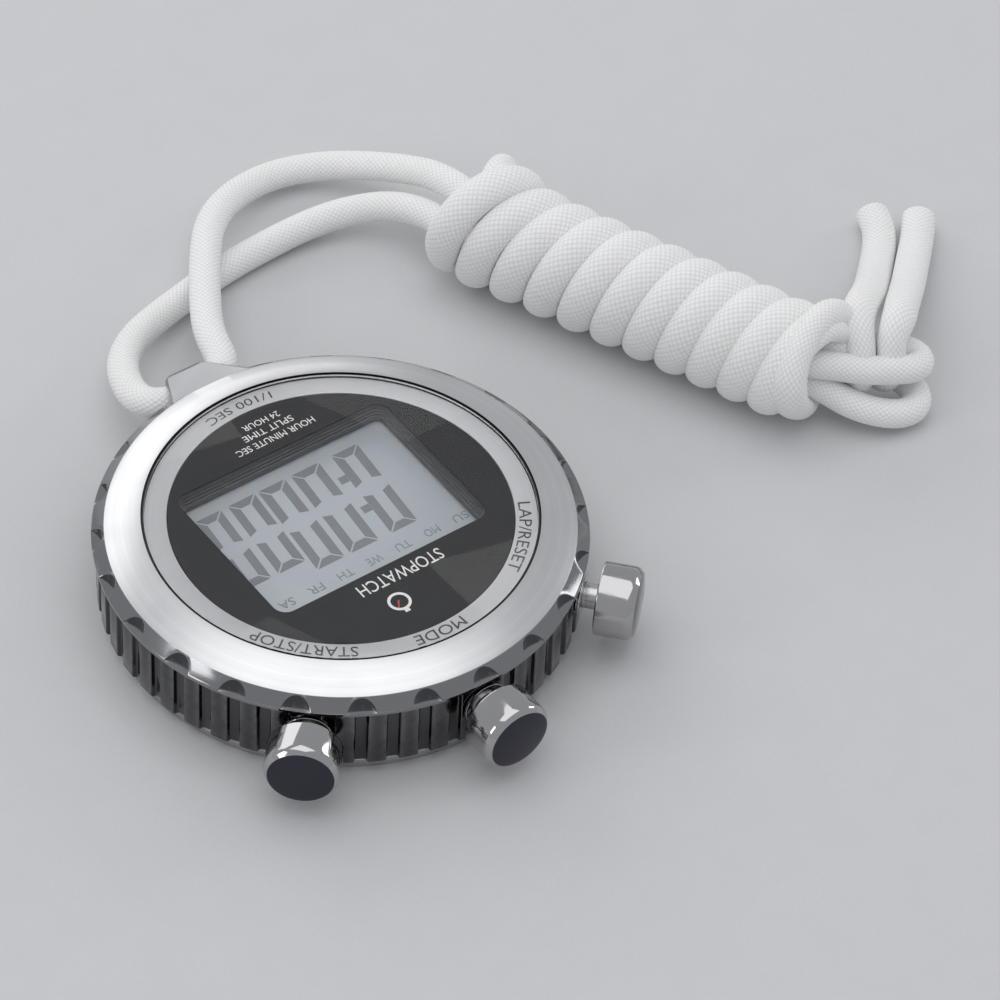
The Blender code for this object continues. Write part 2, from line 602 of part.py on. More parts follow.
def make_electronics():
    board = add_object("circuit_board", disc(board_radius, board_bottom, board_top, LARGE_SIDES), "board")
    holder = add_object("module_holder", disc(holder_radius, body_bottom, holder_top, LARGE_SIDES), "white plastic")
    for name, radius, y in (("battery", battery_pocket, battery_y), ("buzzer", buzzer_pocket, buzzer_y)):
        pocket = moved(disc(radius, 0, CASE_HEIGHT, MIDDLE_SIDES), 0, y)
        combine(holder, add_cutter(name + "_pocket_cutter", pocket))
    for number, side in ((1, -1), (2, 1)):
        x = side * (board_radius - BOARD_SCREW_EDGE)
        tip = board_top - BOARD_SCREW_LENGTH
        for owner in (board, holder):
            hole = moved(disc(BOARD_SCREW_SHANK / 2 + SLIDE_GAP, tip - SEAT_GAP, CASE_HEIGHT, TINY_SIDES), x,
                         2 * SEAT_GAP)
            combine(owner, add_cutter(f"{owner.name}_screw_cutter_{number}", hole))
        head_low = board_top + SLIDE_GAP
        add_screw(f"board_screw_{number}", x, 2 * SEAT_GAP, BOARD_SCREW_HEAD / 2, BOARD_SCREW_SHANK / 2,
                  head_low + SCREW_HEAD_HEIGHT, head_low, tip)
    radius, rim = BATTERY_DIAMETER / 2, BATTERY_RIM
    cell = turned([(0, battery_bottom), (radius, battery_bottom), (radius, battery_top - rim),
                   (radius - rim, battery_top - rim), (radius - rim, battery_top), (0, battery_top)],
                  MIDDLE_SIDES)
    add_object("battery", moved(cell, 0, battery_y), "steel")
    add_object("battery_clip", battery_clip(), "steel")
    gap = (board_bottom - battery_top - CLIP_SHEET) / 2
    add_object("battery_contact", block(CONTACT_LENGTH, CLIP_WIDTH, battery_top + gap, board_bottom - gap, 0,
                                        battery_y), "brass")
    buzzer_low = body_bottom + SLIDE_GAP
    buzzer_high = buzzer_low + BUZZER_THICKNESS
    add_object("buzzer", moved(disc(BUZZER_DIAMETER / 2, buzzer_low, buzzer_high, MIDDLE_SIDES), 0, buzzer_y), "brass")
    start = buzzer_high + SLIDE_GAP + SPRING_WIRE / 2
    end = board_bottom - SLIDE_GAP - SPRING_WIRE / 2
    middle = (BUZZER_SPRING_DIAMETER - SPRING_WIRE) / 2
    route = [(x, y + buzzer_y, z) for x, y, z in coil_route(middle, start, end, BUZZER_SPRING_TURNS)]
    add_tube("buzzer_spring", route, [SPRING_WIRE / 2] * len(route), "steel", 0)
    chip_low = board_top + THIN_GAP
    chip_top = CHIP_SIZE - 2 * CHIP_DRAFT
    chip = stacked([(rounded_outline(CHIP_SIZE, CHIP_SIZE, CHIP_CORNER), chip_low),
                    (rounded_outline(CHIP_SIZE, CHIP_SIZE, CHIP_CORNER), chip_low + CHIP_HEIGHT / 2),
                    (rounded_outline(chip_top, chip_top, CHIP_CORNER - CHIP_DRAFT / 2), chip_low + CHIP_HEIGHT)])
    add_object("chip_cover", moved(chip, 0, WINDOW_Y), "epoxy")
    quartz = disc(QUARTZ_DIAMETER / 2, 0, QUARTZ_LENGTH, SMALL_SIDES)
    bmesh.ops.rotate(quartz, cent=(0, 0, 0), matrix=Matrix.Rotation(math.pi / 2, 3, "Y"), verts=quartz.verts)
    lift = board_top + THIN_GAP + QUARTZ_DIAMETER / 2
    add_object("quartz_can", moved(quartz, QUARTZ_LENGTH, board_radius - LEAF_FOOT - QUARTZ_DIAMETER, lift), "steel")


def battery_clip():
    """A strap under the battery, with both ends bent up beside it."""
    inside = BATTERY_DIAMETER / 2 + THIN_GAP
    outside = inside + CLIP_SHEET
    low = battery_bottom - THIN_GAP - CLIP_SHEET
    outline = [(-outside, low), (outside, low), (outside, battery_top), (inside, battery_top),
               (inside, low + CLIP_SHEET), (-inside, low + CLIP_SHEET), (-inside, battery_top),
               (-outside, battery_top)]
    bm = prism(outline, -CLIP_WIDTH / 2, CLIP_WIDTH / 2)
    stand = Matrix(((0, 0, 1), (1, 0, 0), (0, 1, 0)))
    bmesh.ops.rotate(bm, cent=(0, 0, 0), matrix=stand, verts=bm.verts)
    return moved(bm, 0, battery_y)


# ---- buttons ---------------------------------------------------------------------------------------

def make_button(name, degrees, case_body):
    axis = bpy.data.objects.new(name + "_axis", None)
    axis.location = (0, 0, button_z * MM)
    axis.rotation_euler = (0, 0, math.radians(degrees))
    bpy.context.scene.collection.objects.link(axis)

    hole = turned([(0, bore_radius / 2), (bushing_outer + SLIDE_GAP, bore_radius / 2),
                   (bushing_outer + SLIDE_GAP, CASE_RADIUS + 1), (0, CASE_RADIUS + 1)], SMALL_SIDES)
    combine(case_body, add_cutter(name + "_hole_cutter", along_button(hole), axis))

    stem, rod, core = STEM_DIAMETER / 2, ROD_DIAMETER / 2, ROD_DIAMETER / 2 - CIRCLIP_GROOVE
    clip_y = bushing_start - THIN_GAP - CIRCLIP_THICKNESS
    clip_slack = SLIDE_GAP / 2
    seal_middle = CASE_RADIUS - SEAL_INSET
    seal_floor = bushing_inner - SEAL_WIRE - 2 * clip_slack
    seal_half = SEAL_WIRE / 2 + clip_slack
    stem_top = cap_back + STEM_GRIP
    plunger = turned([(0, rod_tip), (rod, rod_tip), (rod, clip_y - clip_slack), (core, clip_y - clip_slack),
                      (core, clip_y + CIRCLIP_THICKNESS + clip_slack),
                      (rod, clip_y + CIRCLIP_THICKNESS + clip_slack), (rod, stem_shoulder),
                      (stem, stem_shoulder), (stem, seal_middle - seal_half), (seal_floor, seal_middle - seal_half),
                      (seal_floor, seal_middle + seal_half), (stem, seal_middle + seal_half), (stem, stem_top),
                      (0, stem_top)], TINY_SIDES)
    add_object(name + "_plunger", along_button(plunger), "polished", axis)

    cap_radius = CAP_DIAMETER / 2
    socket = stem + SLIDE_GAP
    edge = [(cap_radius - CAP_EDGE * (1 - math.cos(angle)), cap_face - CAP_EDGE * (1 - math.sin(angle)))
            for angle in (0, math.pi / 6, math.pi / 3, math.pi / 2)]
    rim = CAP_EDGE / 4
    cap = turned([(0, stem_top + SEAT_GAP), (socket, stem_top + SEAT_GAP), (socket, cap_back),
                  (cap_radius - rim, cap_back), (cap_radius, cap_back + rim)] + edge + [(0, cap_face)], CAP_SIDES)
    add_object(name + "_cap", along_button(cap), "polished", axis)

    rod_bore = rod + SLIDE_GAP
    bushing = turned([(rod_bore, bushing_start), (bushing_outer, bushing_start), (bushing_outer, collar_y),
                      (bushing_outer + COLLAR_RIM, collar_y), (bushing_outer + COLLAR_RIM, CASE_RADIUS),
                      (bushing_inner, CASE_RADIUS), (bushing_inner, bushing_start + BUSHING_FLOOR),
                      (rod_bore, bushing_start + BUSHING_FLOOR)], SMALL_SIDES)
    add_object(name + "_bushing", along_button(bushing), "brass", axis)

    seal = turned([(bushing_inner - clip_slack - SEAL_WIRE / 2 + SEAL_WIRE / 2 * math.cos(angle),
                    seal_middle + SEAL_WIRE / 2 * math.sin(angle))
                   for angle in (math.pi / 3 * step for step in range(6))], TINY_SIDES)
    add_object(name + "_seal", along_button(seal), "rubber", axis)

    start = bushing_start + BUSHING_FLOOR + SLIDE_GAP + SPRING_WIRE / 2
    end = stem_shoulder - SLIDE_GAP - SPRING_WIRE / 2
    route = coil_route((SPRING_DIAMETER - SPRING_WIRE) / 2, start, end, SPRING_TURNS)
    spring = add_tube(name + "_spring", [(x, z, -y) for x, y, z in route], [SPRING_WIRE / 2] * len(route), "steel", 0)
    spring.parent = axis

    add_object(name + "_clip", along_button(circlip(clip_y, core + clip_slack * 2)), "steel", axis)

    leaf_low = board_top + THIN_GAP - button_z
    half = LEAF_SHEET / 2
    outline = [(leaf_y - LEAF_FOOT, leaf_low), (leaf_y + half, leaf_low), (leaf_y + half, LEAF_REACH),
               (leaf_y - half, LEAF_REACH), (leaf_y - half, leaf_low + LEAF_SHEET),
               (leaf_y - LEAF_FOOT, leaf_low + LEAF_SHEET)]
    leaf = prism(outline, -LEAF_WIDTH / 2, LEAF_WIDTH / 2)
    stand = Matrix(((0, 0, 1), (1, 0, 0), (0, 1, 0)))
    bmesh.ops.rotate(leaf, cent=(0, 0, 0), matrix=stand, verts=leaf.verts)
    add_object(name + "_contact", leaf, "brass", axis)


def circlip(start, inner):
    """An open ring that snaps into the rod's groove."""
    outer = CIRCLIP_DIAMETER / 2
    first = math.radians(CIRCLIP_OPENING / 2)
    sweep = 2 * math.pi - 2 * first
    angles = [first + sweep * step / 14 for step in range(15)]
    outline = [(outer * math.cos(angle), outer * math.sin(angle)) for angle in angles]
    outline += [(inner * math.cos(angle), inner * math.sin(angle)) for angle in reversed(angles)]
    return prism(outline, start, start + CIRCLIP_THICKNESS)


# ---- neck cord ---------------------------------------------------------------------------------------

def make_cord():
    radius = CORD_DIAMETER / 2
    for name, points in (("cord_leg_a", LEG_A), ("cord_leg_b", LEG_B), ("cord_tail_a", TAIL_A),
                         ("cord_tail_b", TAIL_B)):
        route = smooth_route(points, CORD_DIAMETER)
        add_tube(name, route, [radius] * len(route), "cord", 3)
    start, end, bight = Vector(HANK_START), Vector(HANK_END), Vector(BIGHT_END)
    stations = [(start, 0.84), (start.lerp(end, 0.02), 0.95), (start.lerp(end, 0.05), 1.0), (start.lerp(end, 0.5), 1.0),
                (start.lerp(end, 0.97), 1.0), (end, 0.94)]
    waist = BIGHT_RADIUS / HANK_RADIUS
    stations += [(end.lerp(bight, 0.25), (1 + waist) / 2 - 0.06), (end.lerp(bight, 0.5), waist),
                 (bight, waist), (bight + (bight - end) * 0.2, 0.8 * waist),
                 (bight + (bight - end) * 0.28, 0.45 * waist)]
    route = [(place.x, place.y, HANK_RADIUS * max(share, waist) + SLIDE_GAP / 2) for place, share in stations]
    add_tube("cord_hank", route, [HANK_RADIUS * share for _, share in stations], "cord", 3)


def main():
    clear_scene()
    body = make_case_body()
    make_bezel()
    make_back()
    make_display()
    make_electronics()
    for name, degrees in BUTTONS.items():
        make_button(name, degrees, body)
    make_cord()


main()
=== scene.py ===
"""The finished look of a digital stopwatch and its white braided neck cord.

The frame is the solid model's: +Z points out of the display and +Y to 12 o'clock. Heights and the
main radius are read from its solids. The lug, the window, the grooves, the buttons and the cord's
route repeat its sizes. Shapes are drawn in millimetres, and become metres in their pieces.
"""

import math

import bmesh
import bpy
from mathutils import Matrix, Quaternion, Vector


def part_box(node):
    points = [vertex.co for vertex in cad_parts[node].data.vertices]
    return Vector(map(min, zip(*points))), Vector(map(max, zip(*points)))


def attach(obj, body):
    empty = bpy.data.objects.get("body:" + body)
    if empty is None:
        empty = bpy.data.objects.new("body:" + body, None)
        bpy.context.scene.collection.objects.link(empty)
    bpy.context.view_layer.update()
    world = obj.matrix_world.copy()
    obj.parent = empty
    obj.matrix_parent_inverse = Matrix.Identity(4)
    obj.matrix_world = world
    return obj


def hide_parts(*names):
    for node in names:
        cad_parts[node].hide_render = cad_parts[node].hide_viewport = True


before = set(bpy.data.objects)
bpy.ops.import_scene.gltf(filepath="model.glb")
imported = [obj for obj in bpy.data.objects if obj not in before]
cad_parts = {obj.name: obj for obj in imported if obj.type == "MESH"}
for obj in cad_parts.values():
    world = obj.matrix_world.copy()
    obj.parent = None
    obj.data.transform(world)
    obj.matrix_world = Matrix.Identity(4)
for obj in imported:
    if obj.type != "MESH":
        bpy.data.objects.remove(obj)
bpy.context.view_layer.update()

MM = 0.001


def node_box(node):
    """Lowest and highest corners of a solid, in millimetres."""
    low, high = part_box(node)
    return low / MM, high / MM


# ---- sizes, in millimetres --------------------------------------------------------------------------

bezel_low, bezel_high = node_box("bezel")
body_low = node_box("case_body")[0]
cover_high = node_box("back_cover")[1]
lens_low, lens_high = node_box("lens")
gasket_low, gasket_high = node_box("lens_gasket")
ring_low, ring_high = node_box("dial_ring")
mask_low, mask_high = node_box("face_mask")
well_low, well_high = node_box("lcd_frame")
panel_low, panel_high = node_box("lcd_panel")
cap_low, cap_high = node_box("mode_cap")

CASE_RADIUS = bezel_high.x
CASE_TOP = bezel_high.z
FLANGE_Z = bezel_low.z
FLANGE_THICKNESS = 0.5
CHAMFER_WIDTH = 1.6
CONE_WIDTH = 4.6
CONE_DROP = 1.6
NOTCH_COUNT = 24
NOTCH_RADIUS = 1.9

SHADOW_GAP = 0.3            # between the ribbed case and the bezel's flange
RIB_RADIUS = CASE_RADIUS - 0.5
RIB_COUNT = 48
GROOVE_WIDTH = 1.7
GROOVE_DEPTH = 0.6

LUG_CREASE_Y = -29.5
LUG_TIP_Y = -35.6
LUG_BASE_WIDTH = 11.2
LUG_TIP_WIDTH = 5.6
LUG_SLOPE = 0.385
LUG_BOTTOM = 3.9
TUNNEL_DIAMETER = 4.4
TUNNEL_Y = -32.8
TUNNEL_Z = 8.68

WINDOW_WIDTH = 31.4
WINDOW_HEIGHT = 23.9
WINDOW_Y = -2.0
WINDOW_CORNER = 1.8

CAP_FRONT = 38.2            # distances along a button's axis, from the watch's middle
CAP_FACE = 37.9
CAP_BACK = 33.0
CAP_SOCKET = 34.4
CAP_RADIUS = 4.7
STEM_TIP = 23.6
STEM_SHOULDER = 29.2
STEM_TOP = 35.5
ROD_RADIUS = 0.8
STEM_RADIUS = 1.6
BUSHING_RADIUS = 2.45
BUSHING_BORE = 1.7
COLLAR_RADIUS = 3.0
BUTTON_Z = (cap_low.z + cap_high.z) / 2
BUTTONS = {"start": -42.0, "mode": 0.0, "lap": 42.0}     # degrees from 12 o'clock, anticlockwise

RING_SPACING = 0.30         # along the cord, between the rings of points that make its surface
POINTS_ROUND = 54
STITCHES_ROUND = 18
STITCH_LENGTH = 0.78
LEG_SECTION = (4.2, 3.8)    # width and thickness of the cord where it lies loose
WRAP_SECTION = (5.1, 3.6)   # where it is wound tight
CORE_SECTION = (3.9, 3.8)   # where it runs inside the winding
TAIL_SECTION = (4.6, 3.7)


# ---- the cord's route -------------------------------------------------------------------------------

# Both ends of the cord leave the lug's tunnel. Each list is a centre line, given point by point.
LEG_A = [
    (0.15, -32.8, 8.6), (3.2, -32.8, 8.6), (5.7, -33.9, 8.3), (6.4, -36.9, 7.6), (5.2, -41.3, 6.6),
    (2.6, -45.8, 5.3), (-1.8, -49.6, 4.0), (-7.3, -52.3, 2.7), (-13.3, -54.2, 2.1), (-19.5, -55.6, 2.05),
    (-26.0, -56.3, 2.05), (-31.5, -56.4, 2.3), (-36.4, -55.6, 3.0), (-40.6, -53.5, 4.1),
    (-43.6, -50.6, 5.3), (-45.4, -47.0, 6.2), (-46.6, -43.2, 6.4),
]
LEG_B = [
    (-0.15, -32.8, 8.6), (-3.1, -32.8, 8.6), (-5.5, -34.0, 8.6), (-6.6, -37.0, 8.4), (-8.0, -41.6, 7.9),
    (-10.8, -46.6, 7.2), (-14.0, -51.6, 6.7), (-17.3, -56.3, 6.4), (-20.8, -60.6, 5.6), (-25.4, -64.2, 4.4),
    (-31.0, -66.6, 3.1), (-37.0, -66.8, 2.5), (-42.3, -63.9, 3.2), (-46.3, -59.0, 4.8), (-48.8, -53.4, 7.0),
    (-49.7, -49.0, 8.8), (-50.1, -45.0, 9.6),
]
TAIL_A = [
    (-76.9, 6.9, 12.6), (-79.7, 4.6, 11.8), (-83.2, 1.8, 9.3), (-87.2, -1.9, 6.1), (-91.3, -5.9, 3.5),
    (-95.2, -9.7, 2.1), (-98.0, -13.0, 2.05), (-99.3, -16.9, 2.05),
]
TAIL_B = [
    (-80.9, 10.6, 12.6), (-83.6, 7.9, 11.4), (-87.6, 4.2, 8.6), (-92.1, 0.0, 5.9), (-96.6, -4.4, 3.6),
    (-101.0, -8.6, 2.2), (-104.6, -12.6, 2.05),
]
HANK_START = Vector((-48.3, -40.1))
HANK_END = Vector((-69.5, 9.2))
HANK_Z = 8.15
HANK_AXIS = (HANK_END - HANK_START).normalized()
HANK_SIDE = Vector((HANK_AXIS.y, -HANK_AXIS.x))
WRAP_RADIUS = 6.4
WRAP_PITCH = 4.9            # the two strands take turns, so one turn of a strand is two of these
POINTS_PER_TURN = 24

# The winding's inner runs and its loop at the far end, as (along the axis, sideways, height).
CORE_A = [
    (3, 1.8, 6.2), (10, 1.95, 6.2), (20, 1.95, 6.2), (30, 1.95, 6.2), (40, 1.95, 6.2), (49, 1.95, 6.1),
    (52.9, -0.4, 6.0), (55.6, -0.3, 5.0), (58.9, -1.0, 4.0), (62.2, -2.8, 3.0), (64.6, -4.9, 2.5),
    (64.9, -7.6, 2.5), (62.2, -9.9, 2.8), (58.5, -9.5, 3.6), (55.0, -6.8, 4.6), (51.5, -4.0, 5.5),
    (47, -2.1, 6.2), (38, -1.95, 6.2), (28, -1.95, 6.2), (18, -1.95, 6.2), (9, -1.95, 6.2),
    (5.5, -2.2, 5.9),
]
CORE_B = [
    (2, -1.9, 10.0), (10, -1.95, 10.1), (20, -1.95, 10.1), (30, -1.95, 10.1), (40, -1.95, 10.1),
    (49, -2.1, 10.0), (54, -4.6, 9.4), (57.5, -8.5, 8.0), (60.5, -11.2, 7.2), (63.4, -10.8, 7.0),
    (63.6, -8.1, 7.4), (61.4, -6.1, 8.0), (58.3, -3.1, 8.5), (55.1, -1.6, 9.0), (52.0, 0.6, 9.6),
    (48, 2.1, 10.0), (38, 1.95, 10.1), (28, 1.95, 10.1), (18, 1.95, 10.1), (9, 1.95, 10.1),
    (5.5, 2.2, 10.5),
]
# The last turns of each strand, which go under the loop and come up through it.
CLIMB_A = [(54.8, -6.2, 4.9), (56.6, -4.6, 3.2), (57.6, -4.0, 4.9), (57.4, -4.2, 8.0), (56.5, -5.2, 11.0)]
CLIMB_B = [
    (51.8, 4.9, 12.9), (51.5, 0.0, 15.3), (51.8, -3.6, 15.0), (52.4, -6.6, 13.2), (54.0, -8.2, 9.4),
    (56.5, -8.0, 5.2), (59.2, -7.2, 3.6), (60.6, -6.8, 5.4), (60.2, -7.2, 8.6), (59.3, -7.8, 11.2),
]


def in_hank(along, side, height):
    """A place given along the winding's axis, sideways towards the watch, and above the ground."""
    flat = HANK_START + HANK_AXIS * along + HANK_SIDE * side
    return (flat.x, flat.y, height)


def wrap_point(degrees, along, radius=WRAP_RADIUS):
    """A point of a turn. The angle runs from the watch's side over the top. The turns crowd a little
    towards the far end, and the first ones lean and ride over a lump in the core."""
    angle = math.radians(degrees)
    top = max(0.0, math.sin(angle))
    lean = 4.2 * math.exp(-(along / 13) ** 2) * top * (0.45 - 0.55 * math.cos(angle))
    along_now = along + 1.4 * math.sin(math.pi * along / 54) + lean
    radius_now = radius + 2.9 * math.exp(-(along / 6) ** 2) * top
    return in_hank(along_now, radius_now * math.cos(angle), HANK_Z + radius_now * math.sin(angle))


def turns(first, last, start):
    """The turns of one strand from one angle to another, starting at a place along the axis."""
    steps = round((last - first) / 360 * POINTS_PER_TURN)
    made = []
    for step in range(steps + 1):
        degrees = first + (last - first) * step / steps
        made.append(wrap_point(degrees, start + 2 * WRAP_PITCH * (degrees - first) / 360))
    return made


def strand_a():
    lead = [wrap_point(250, 2.6, 3.6), wrap_point(283, 0.6, 4.9), wrap_point(320, -0.6, 6.0)]
    late = [wrap_point(2205, 50.2), wrap_point(2250, 51.2), wrap_point(2295, 52.3), wrap_point(2340, 53.4)]
    return [(LEG_A, LEG_SECTION), ([in_hank(*place) for place in CORE_A], CORE_SECTION),
            (lead, CORE_SECTION), (turns(360, 2160, 0) + late, WRAP_SECTION),
            ([in_hank(*place) for place in CLIMB_A], CORE_SECTION), (TAIL_A, TAIL_SECTION)]


def strand_b():
    lead = [wrap_point(70, 2.6, 3.8), wrap_point(103, 0.6, 5.6), wrap_point(140, -0.6, 6.8)]
    late = [wrap_point(2070, 51.0), wrap_point(2160, 52.2)]
    return [(LEG_B, LEG_SECTION), ([in_hank(*place) for place in CORE_B], CORE_SECTION),
            (lead, CORE_SECTION), (turns(180, 1980, 0) + late, WRAP_SECTION),
            ([in_hank(*place) for place in CLIMB_B], CORE_SECTION), (TAIL_B, TAIL_SECTION)]


# ---- camera, lights and floor ------------------------------------------------------------------------

def make_camera():
    data = bpy.data.cameras.new("camera")
    data.lens = 180
    data.sensor_width = 36
    data.clip_end = 20
    camera = bpy.data.objects.new("camera", data)
    bpy.context.scene.collection.objects.link(camera)
    camera.location = (0.25128, 0.35066, 0.45949)
    aim = Vector((-0.0263, -0.0018, 0.0)) - camera.location
    roll = Quaternion((0, 0, 1), math.radians(3.07))
    camera.rotation_mode = "QUATERNION"
    camera.rotation_quaternion = aim.to_track_quat("-Z", "Y") @ roll
    bpy.context.scene.camera = camera


def make_light(name, direction, distance, size, power):
    """A soft box that looks at the object's middle from one direction."""
    data = bpy.data.lights.new(name, "AREA")
    data.shape = "RECTANGLE"
    data.size, data.size_y = size
    data.energy = power
    light = bpy.data.objects.new(name, data)
    bpy.context.scene.collection.objects.link(light)
    away = Vector(direction).normalized()
    light.location = away * distance + Vector((-0.03, -0.02, 0.0))
    light.rotation_mode = "QUATERNION"
    light.rotation_quaternion = (-away).to_track_quat("-Z", "Y")


def make_studio():
    make_light("overhead_softbox", (0.08, 0.02, 1.0), 0.80, (0.80, 0.80), 2.1)
    make_light("far_softbox", (0.06, -0.86, 0.50), 0.90, (0.80, 0.45), 1.35)
    make_light("low_back_fill", (-0.36, -0.92, 0.20), 1.10, (0.60, 0.24), 0.5)
    make_light("right_fill", (-0.92, 0.15, 0.36), 1.00, (0.30, 0.30), 0.8)
    make_light("left_fill", (0.90, -0.15, 0.40), 1.00, (0.30, 0.40), 0.9)
    world = bpy.data.worlds.new("studio")
    world.use_nodes = True
    sky = world.node_tree.nodes["Background"]
    sky.inputs["Color"].default_value = (0.80, 0.82, 0.85, 1.0)
    sky.inputs["Strength"].default_value = 0.62
    bpy.context.scene.world = world
    bpy.context.scene.view_settings.view_transform = "Standard"


# ---- materials ---------------------------------------------------------------------------------------

def put(tree, kind, inputs=None, **settings):
    """Adds a node. An input is a plain value or another node's output."""
    made = tree.nodes.new("ShaderNode" + kind)
    for key, value in settings.items():
        setattr(made, key, value)
    for key, value in (inputs or {}).items():
        if isinstance(value, bpy.types.NodeSocket):
            tree.links.new(value, made.inputs[key])
        else:
            made.inputs[key].default_value = value
    return made


def math_node(tree, operation, *values):
    return put(tree, "Math", dict(enumerate(values)), operation=operation).outputs[0]


def ramp(tree, value, low, high, out_low=0.0, out_high=1.0):
    return put(tree, "MapRange", {"Value": value, "From Min": low, "From Max": high, "To Min": out_low,
                                  "To Max": out_high}, interpolation_type="SMOOTHSTEP").outputs["Result"]


def mix_colors(tree, factor, first, second):
    made = put(tree, "Mix", {"Factor": factor}, data_type="RGBA")
    for socket, value in ((made.inputs[6], first), (made.inputs[7], second)):
        if isinstance(value, bpy.types.NodeSocket):
            tree.links.new(value, socket)
        else:
            socket.default_value = (*value, 1.0)
    return made.outputs[2]


def new_group(name, inputs, outputs):
    """An empty node group with float inputs and their default values, and named outputs."""
    tree = bpy.data.node_groups.new(name, "ShaderNodeTree")
    plain = "NodeSocketFloat"
    for name, default in inputs.items():
        socket = tree.interface.new_socket(name, in_out="INPUT", socket_type=plain)
        socket.default_value = default
    for name in outputs:
        tree.interface.new_socket(name, in_out="OUTPUT", socket_type=plain)
    start = tree.nodes.new("NodeGroupInput")
    end = tree.nodes.new("NodeGroupOutput")
    return tree, start.outputs, end.inputs


def turned_marks_group():
    """Fine rings left by the lathe about the object's Z axis. Rings is how many there are to 1 mm."""
    tree, given, out = new_group("turned_marks", {"Rings": 6.0}, ("Height", "Tone"))
    place = put(tree, "TexCoord").outputs["Object"]
    flat = put(tree, "VectorMath", {0: place, 1: (1000, 1000, 0)}, operation="MULTIPLY").outputs[0]
    radius = put(tree, "VectorMath", {0: flat}, operation="LENGTH").outputs["Value"]
    rings = math_node(tree, "MULTIPLY", radius, given["Rings"])
    fine = put(tree, "TexNoise", {"W": rings, "Scale": 1.0, "Detail": 3.0}, noise_dimensions="1D")
    broad = put(tree, "TexNoise", {"W": radius, "Scale": 0.9, "Detail": 1.0}, noise_dimensions="1D")
    tree.links.new(fine.outputs[0], out["Height"])
    tree.links.new(math_node(tree, "MULTIPLY", fine.outputs[0], broad.outputs[0]), out["Tone"])
    return tree


def handling_group():
    """Finger smudges and hair scratches: broad soft patches and sparse thin lines."""
    sizes = {"Patch Size": 8.0, "Scratch Size": 1.0}
    tree, given, out = new_group("handling", sizes, ("Smudge", "Scratch"))
    place = put(tree, "TexCoord").outputs["Object"]
    scale = math_node(tree, "DIVIDE", 1000.0, given["Patch Size"])
    patches = put(tree, "TexNoise", {"Vector": place, "Scale": scale, "Detail": 4.0, "Roughness": 0.6})
    tree.links.new(ramp(tree, patches.outputs[0], 0.42, 0.68), out["Smudge"])
    scratch_scale = math_node(tree, "DIVIDE", 1000.0, given["Scratch Size"])
    lines = []
    for turn in ((0.3, 0.2, 0.5), (1.1, 0.4, 2.1)):
        turned = put(tree, "Mapping", {"Vector": place, "Rotation": turn, "Scale": (1.0, 0.06, 0.3)})
        noise = put(tree, "TexNoise", {"Vector": turned.outputs[0], "Scale": scratch_scale, "Detail": 2.0})
        lines.append(ramp(tree, noise.outputs[0], 0.68, 0.76))
    tree.links.new(math_node(tree, "MAXIMUM", *lines), out["Scratch"])
    return tree


def edge_wear_and_highlight_group():
    """Edge wear and a painted highlight together: edges brighten the more sharply the surface turns
    outwards.
    """
    tree, given, out = new_group("edge_wear_and_highlight", {"Start": 0.52, "Full": 0.62}, ("Wear And Highlight",))
    bend = put(tree, "NewGeometry").outputs["Pointiness"]
    place = put(tree, "TexCoord").outputs["Object"]
    patches = put(tree, "TexNoise", {"Vector": place, "Scale": 900.0, "Detail": 3.0}).outputs[0]
    limits = {"Value": bend, "From Min": given["Start"], "From Max": given["Full"]}
    edge = put(tree, "MapRange", limits).outputs[0]
    tree.links.new(math_node(tree, "MULTIPLY", edge, ramp(tree, patches, 0.3, 0.6, 0.4, 1.0)), out["Wear And Highlight"])
    return tree


def speckle_group():
    """A fine even grain, as on moulded plastic, rubber or print. Size is in millimetres."""
    tree, given, out = new_group("speckle", {"Size": 0.2}, ("Height", "Tone"))
    place = put(tree, "TexCoord").outputs["Object"]
    scale = math_node(tree, "DIVIDE", 1000.0, given["Size"])
    fine = put(tree, "TexNoise", {"Vector": place, "Scale": scale, "Detail": 2.0}).outputs[0]
    broad = put(tree, "TexNoise", {"Vector": place, "Scale": 160.0, "Detail": 2.0}).outputs[0]
    tree.links.new(fine, out["Height"])
    tree.links.new(math_node(tree, "MULTIPLY", fine, ramp(tree, broad, 0.3, 0.7, 0.8, 1.2)), out["Tone"])
    return tree


def braid_group():
    """Stitches of a braided sleeve. The map's U runs along the cord in stitches, and V goes once round."""
    tree, given, out = new_group("braid", {"Stitches Round": STITCHES_ROUND}, ("Height", "Tone"))
    spot = put(tree, "SeparateXYZ", {0: put(tree, "TexCoord").outputs["UV"]}).outputs
    round_it = math_node(tree, "MULTIPLY", spot["Y"], given["Stitches Round"])
    rise = math_node(tree, "ADD", spot["X"], round_it)
    fall = math_node(tree, "SUBTRACT", spot["X"], round_it)
    waves = []
    for way in (rise, fall):
        turn = math_node(tree, "MULTIPLY", way, math.pi)
        waves.append(math_node(tree, "ABSOLUTE", math_node(tree, "SINE", turn)))
    stitch = math_node(tree, "POWER", math_node(tree, "MULTIPLY", *waves), 0.45)
    threads = put(tree, "CombineXYZ", {"X": math_node(tree, "MULTIPLY", rise, 7.0), "Y": fall}).outputs[0]
    fibre = put(tree, "TexNoise", {"Vector": threads, "Scale": 1.0, "Detail": 2.0}).outputs[0]
    tree.links.new(math_node(tree, "MULTIPLY_ADD", fibre, 0.22, stitch), out["Height"])
    # The tone is painted shade: darker in the gaps between the stitches.
    tree.links.new(stitch, out["Tone"])
    return tree


turned_marks = turned_marks_group()
handling = handling_group()
edge_wear_and_highlight = edge_wear_and_highlight_group()
speckle = speckle_group()
braid = braid_group()


def use_group(tree, group, **values):
    """Places a shared effect in a material and returns its outputs."""
    made = put(tree, "Group", node_tree=group)
    for socket, value in values.items():
        made.inputs[socket.replace("_", " ")].default_value = value
    return made.outputs


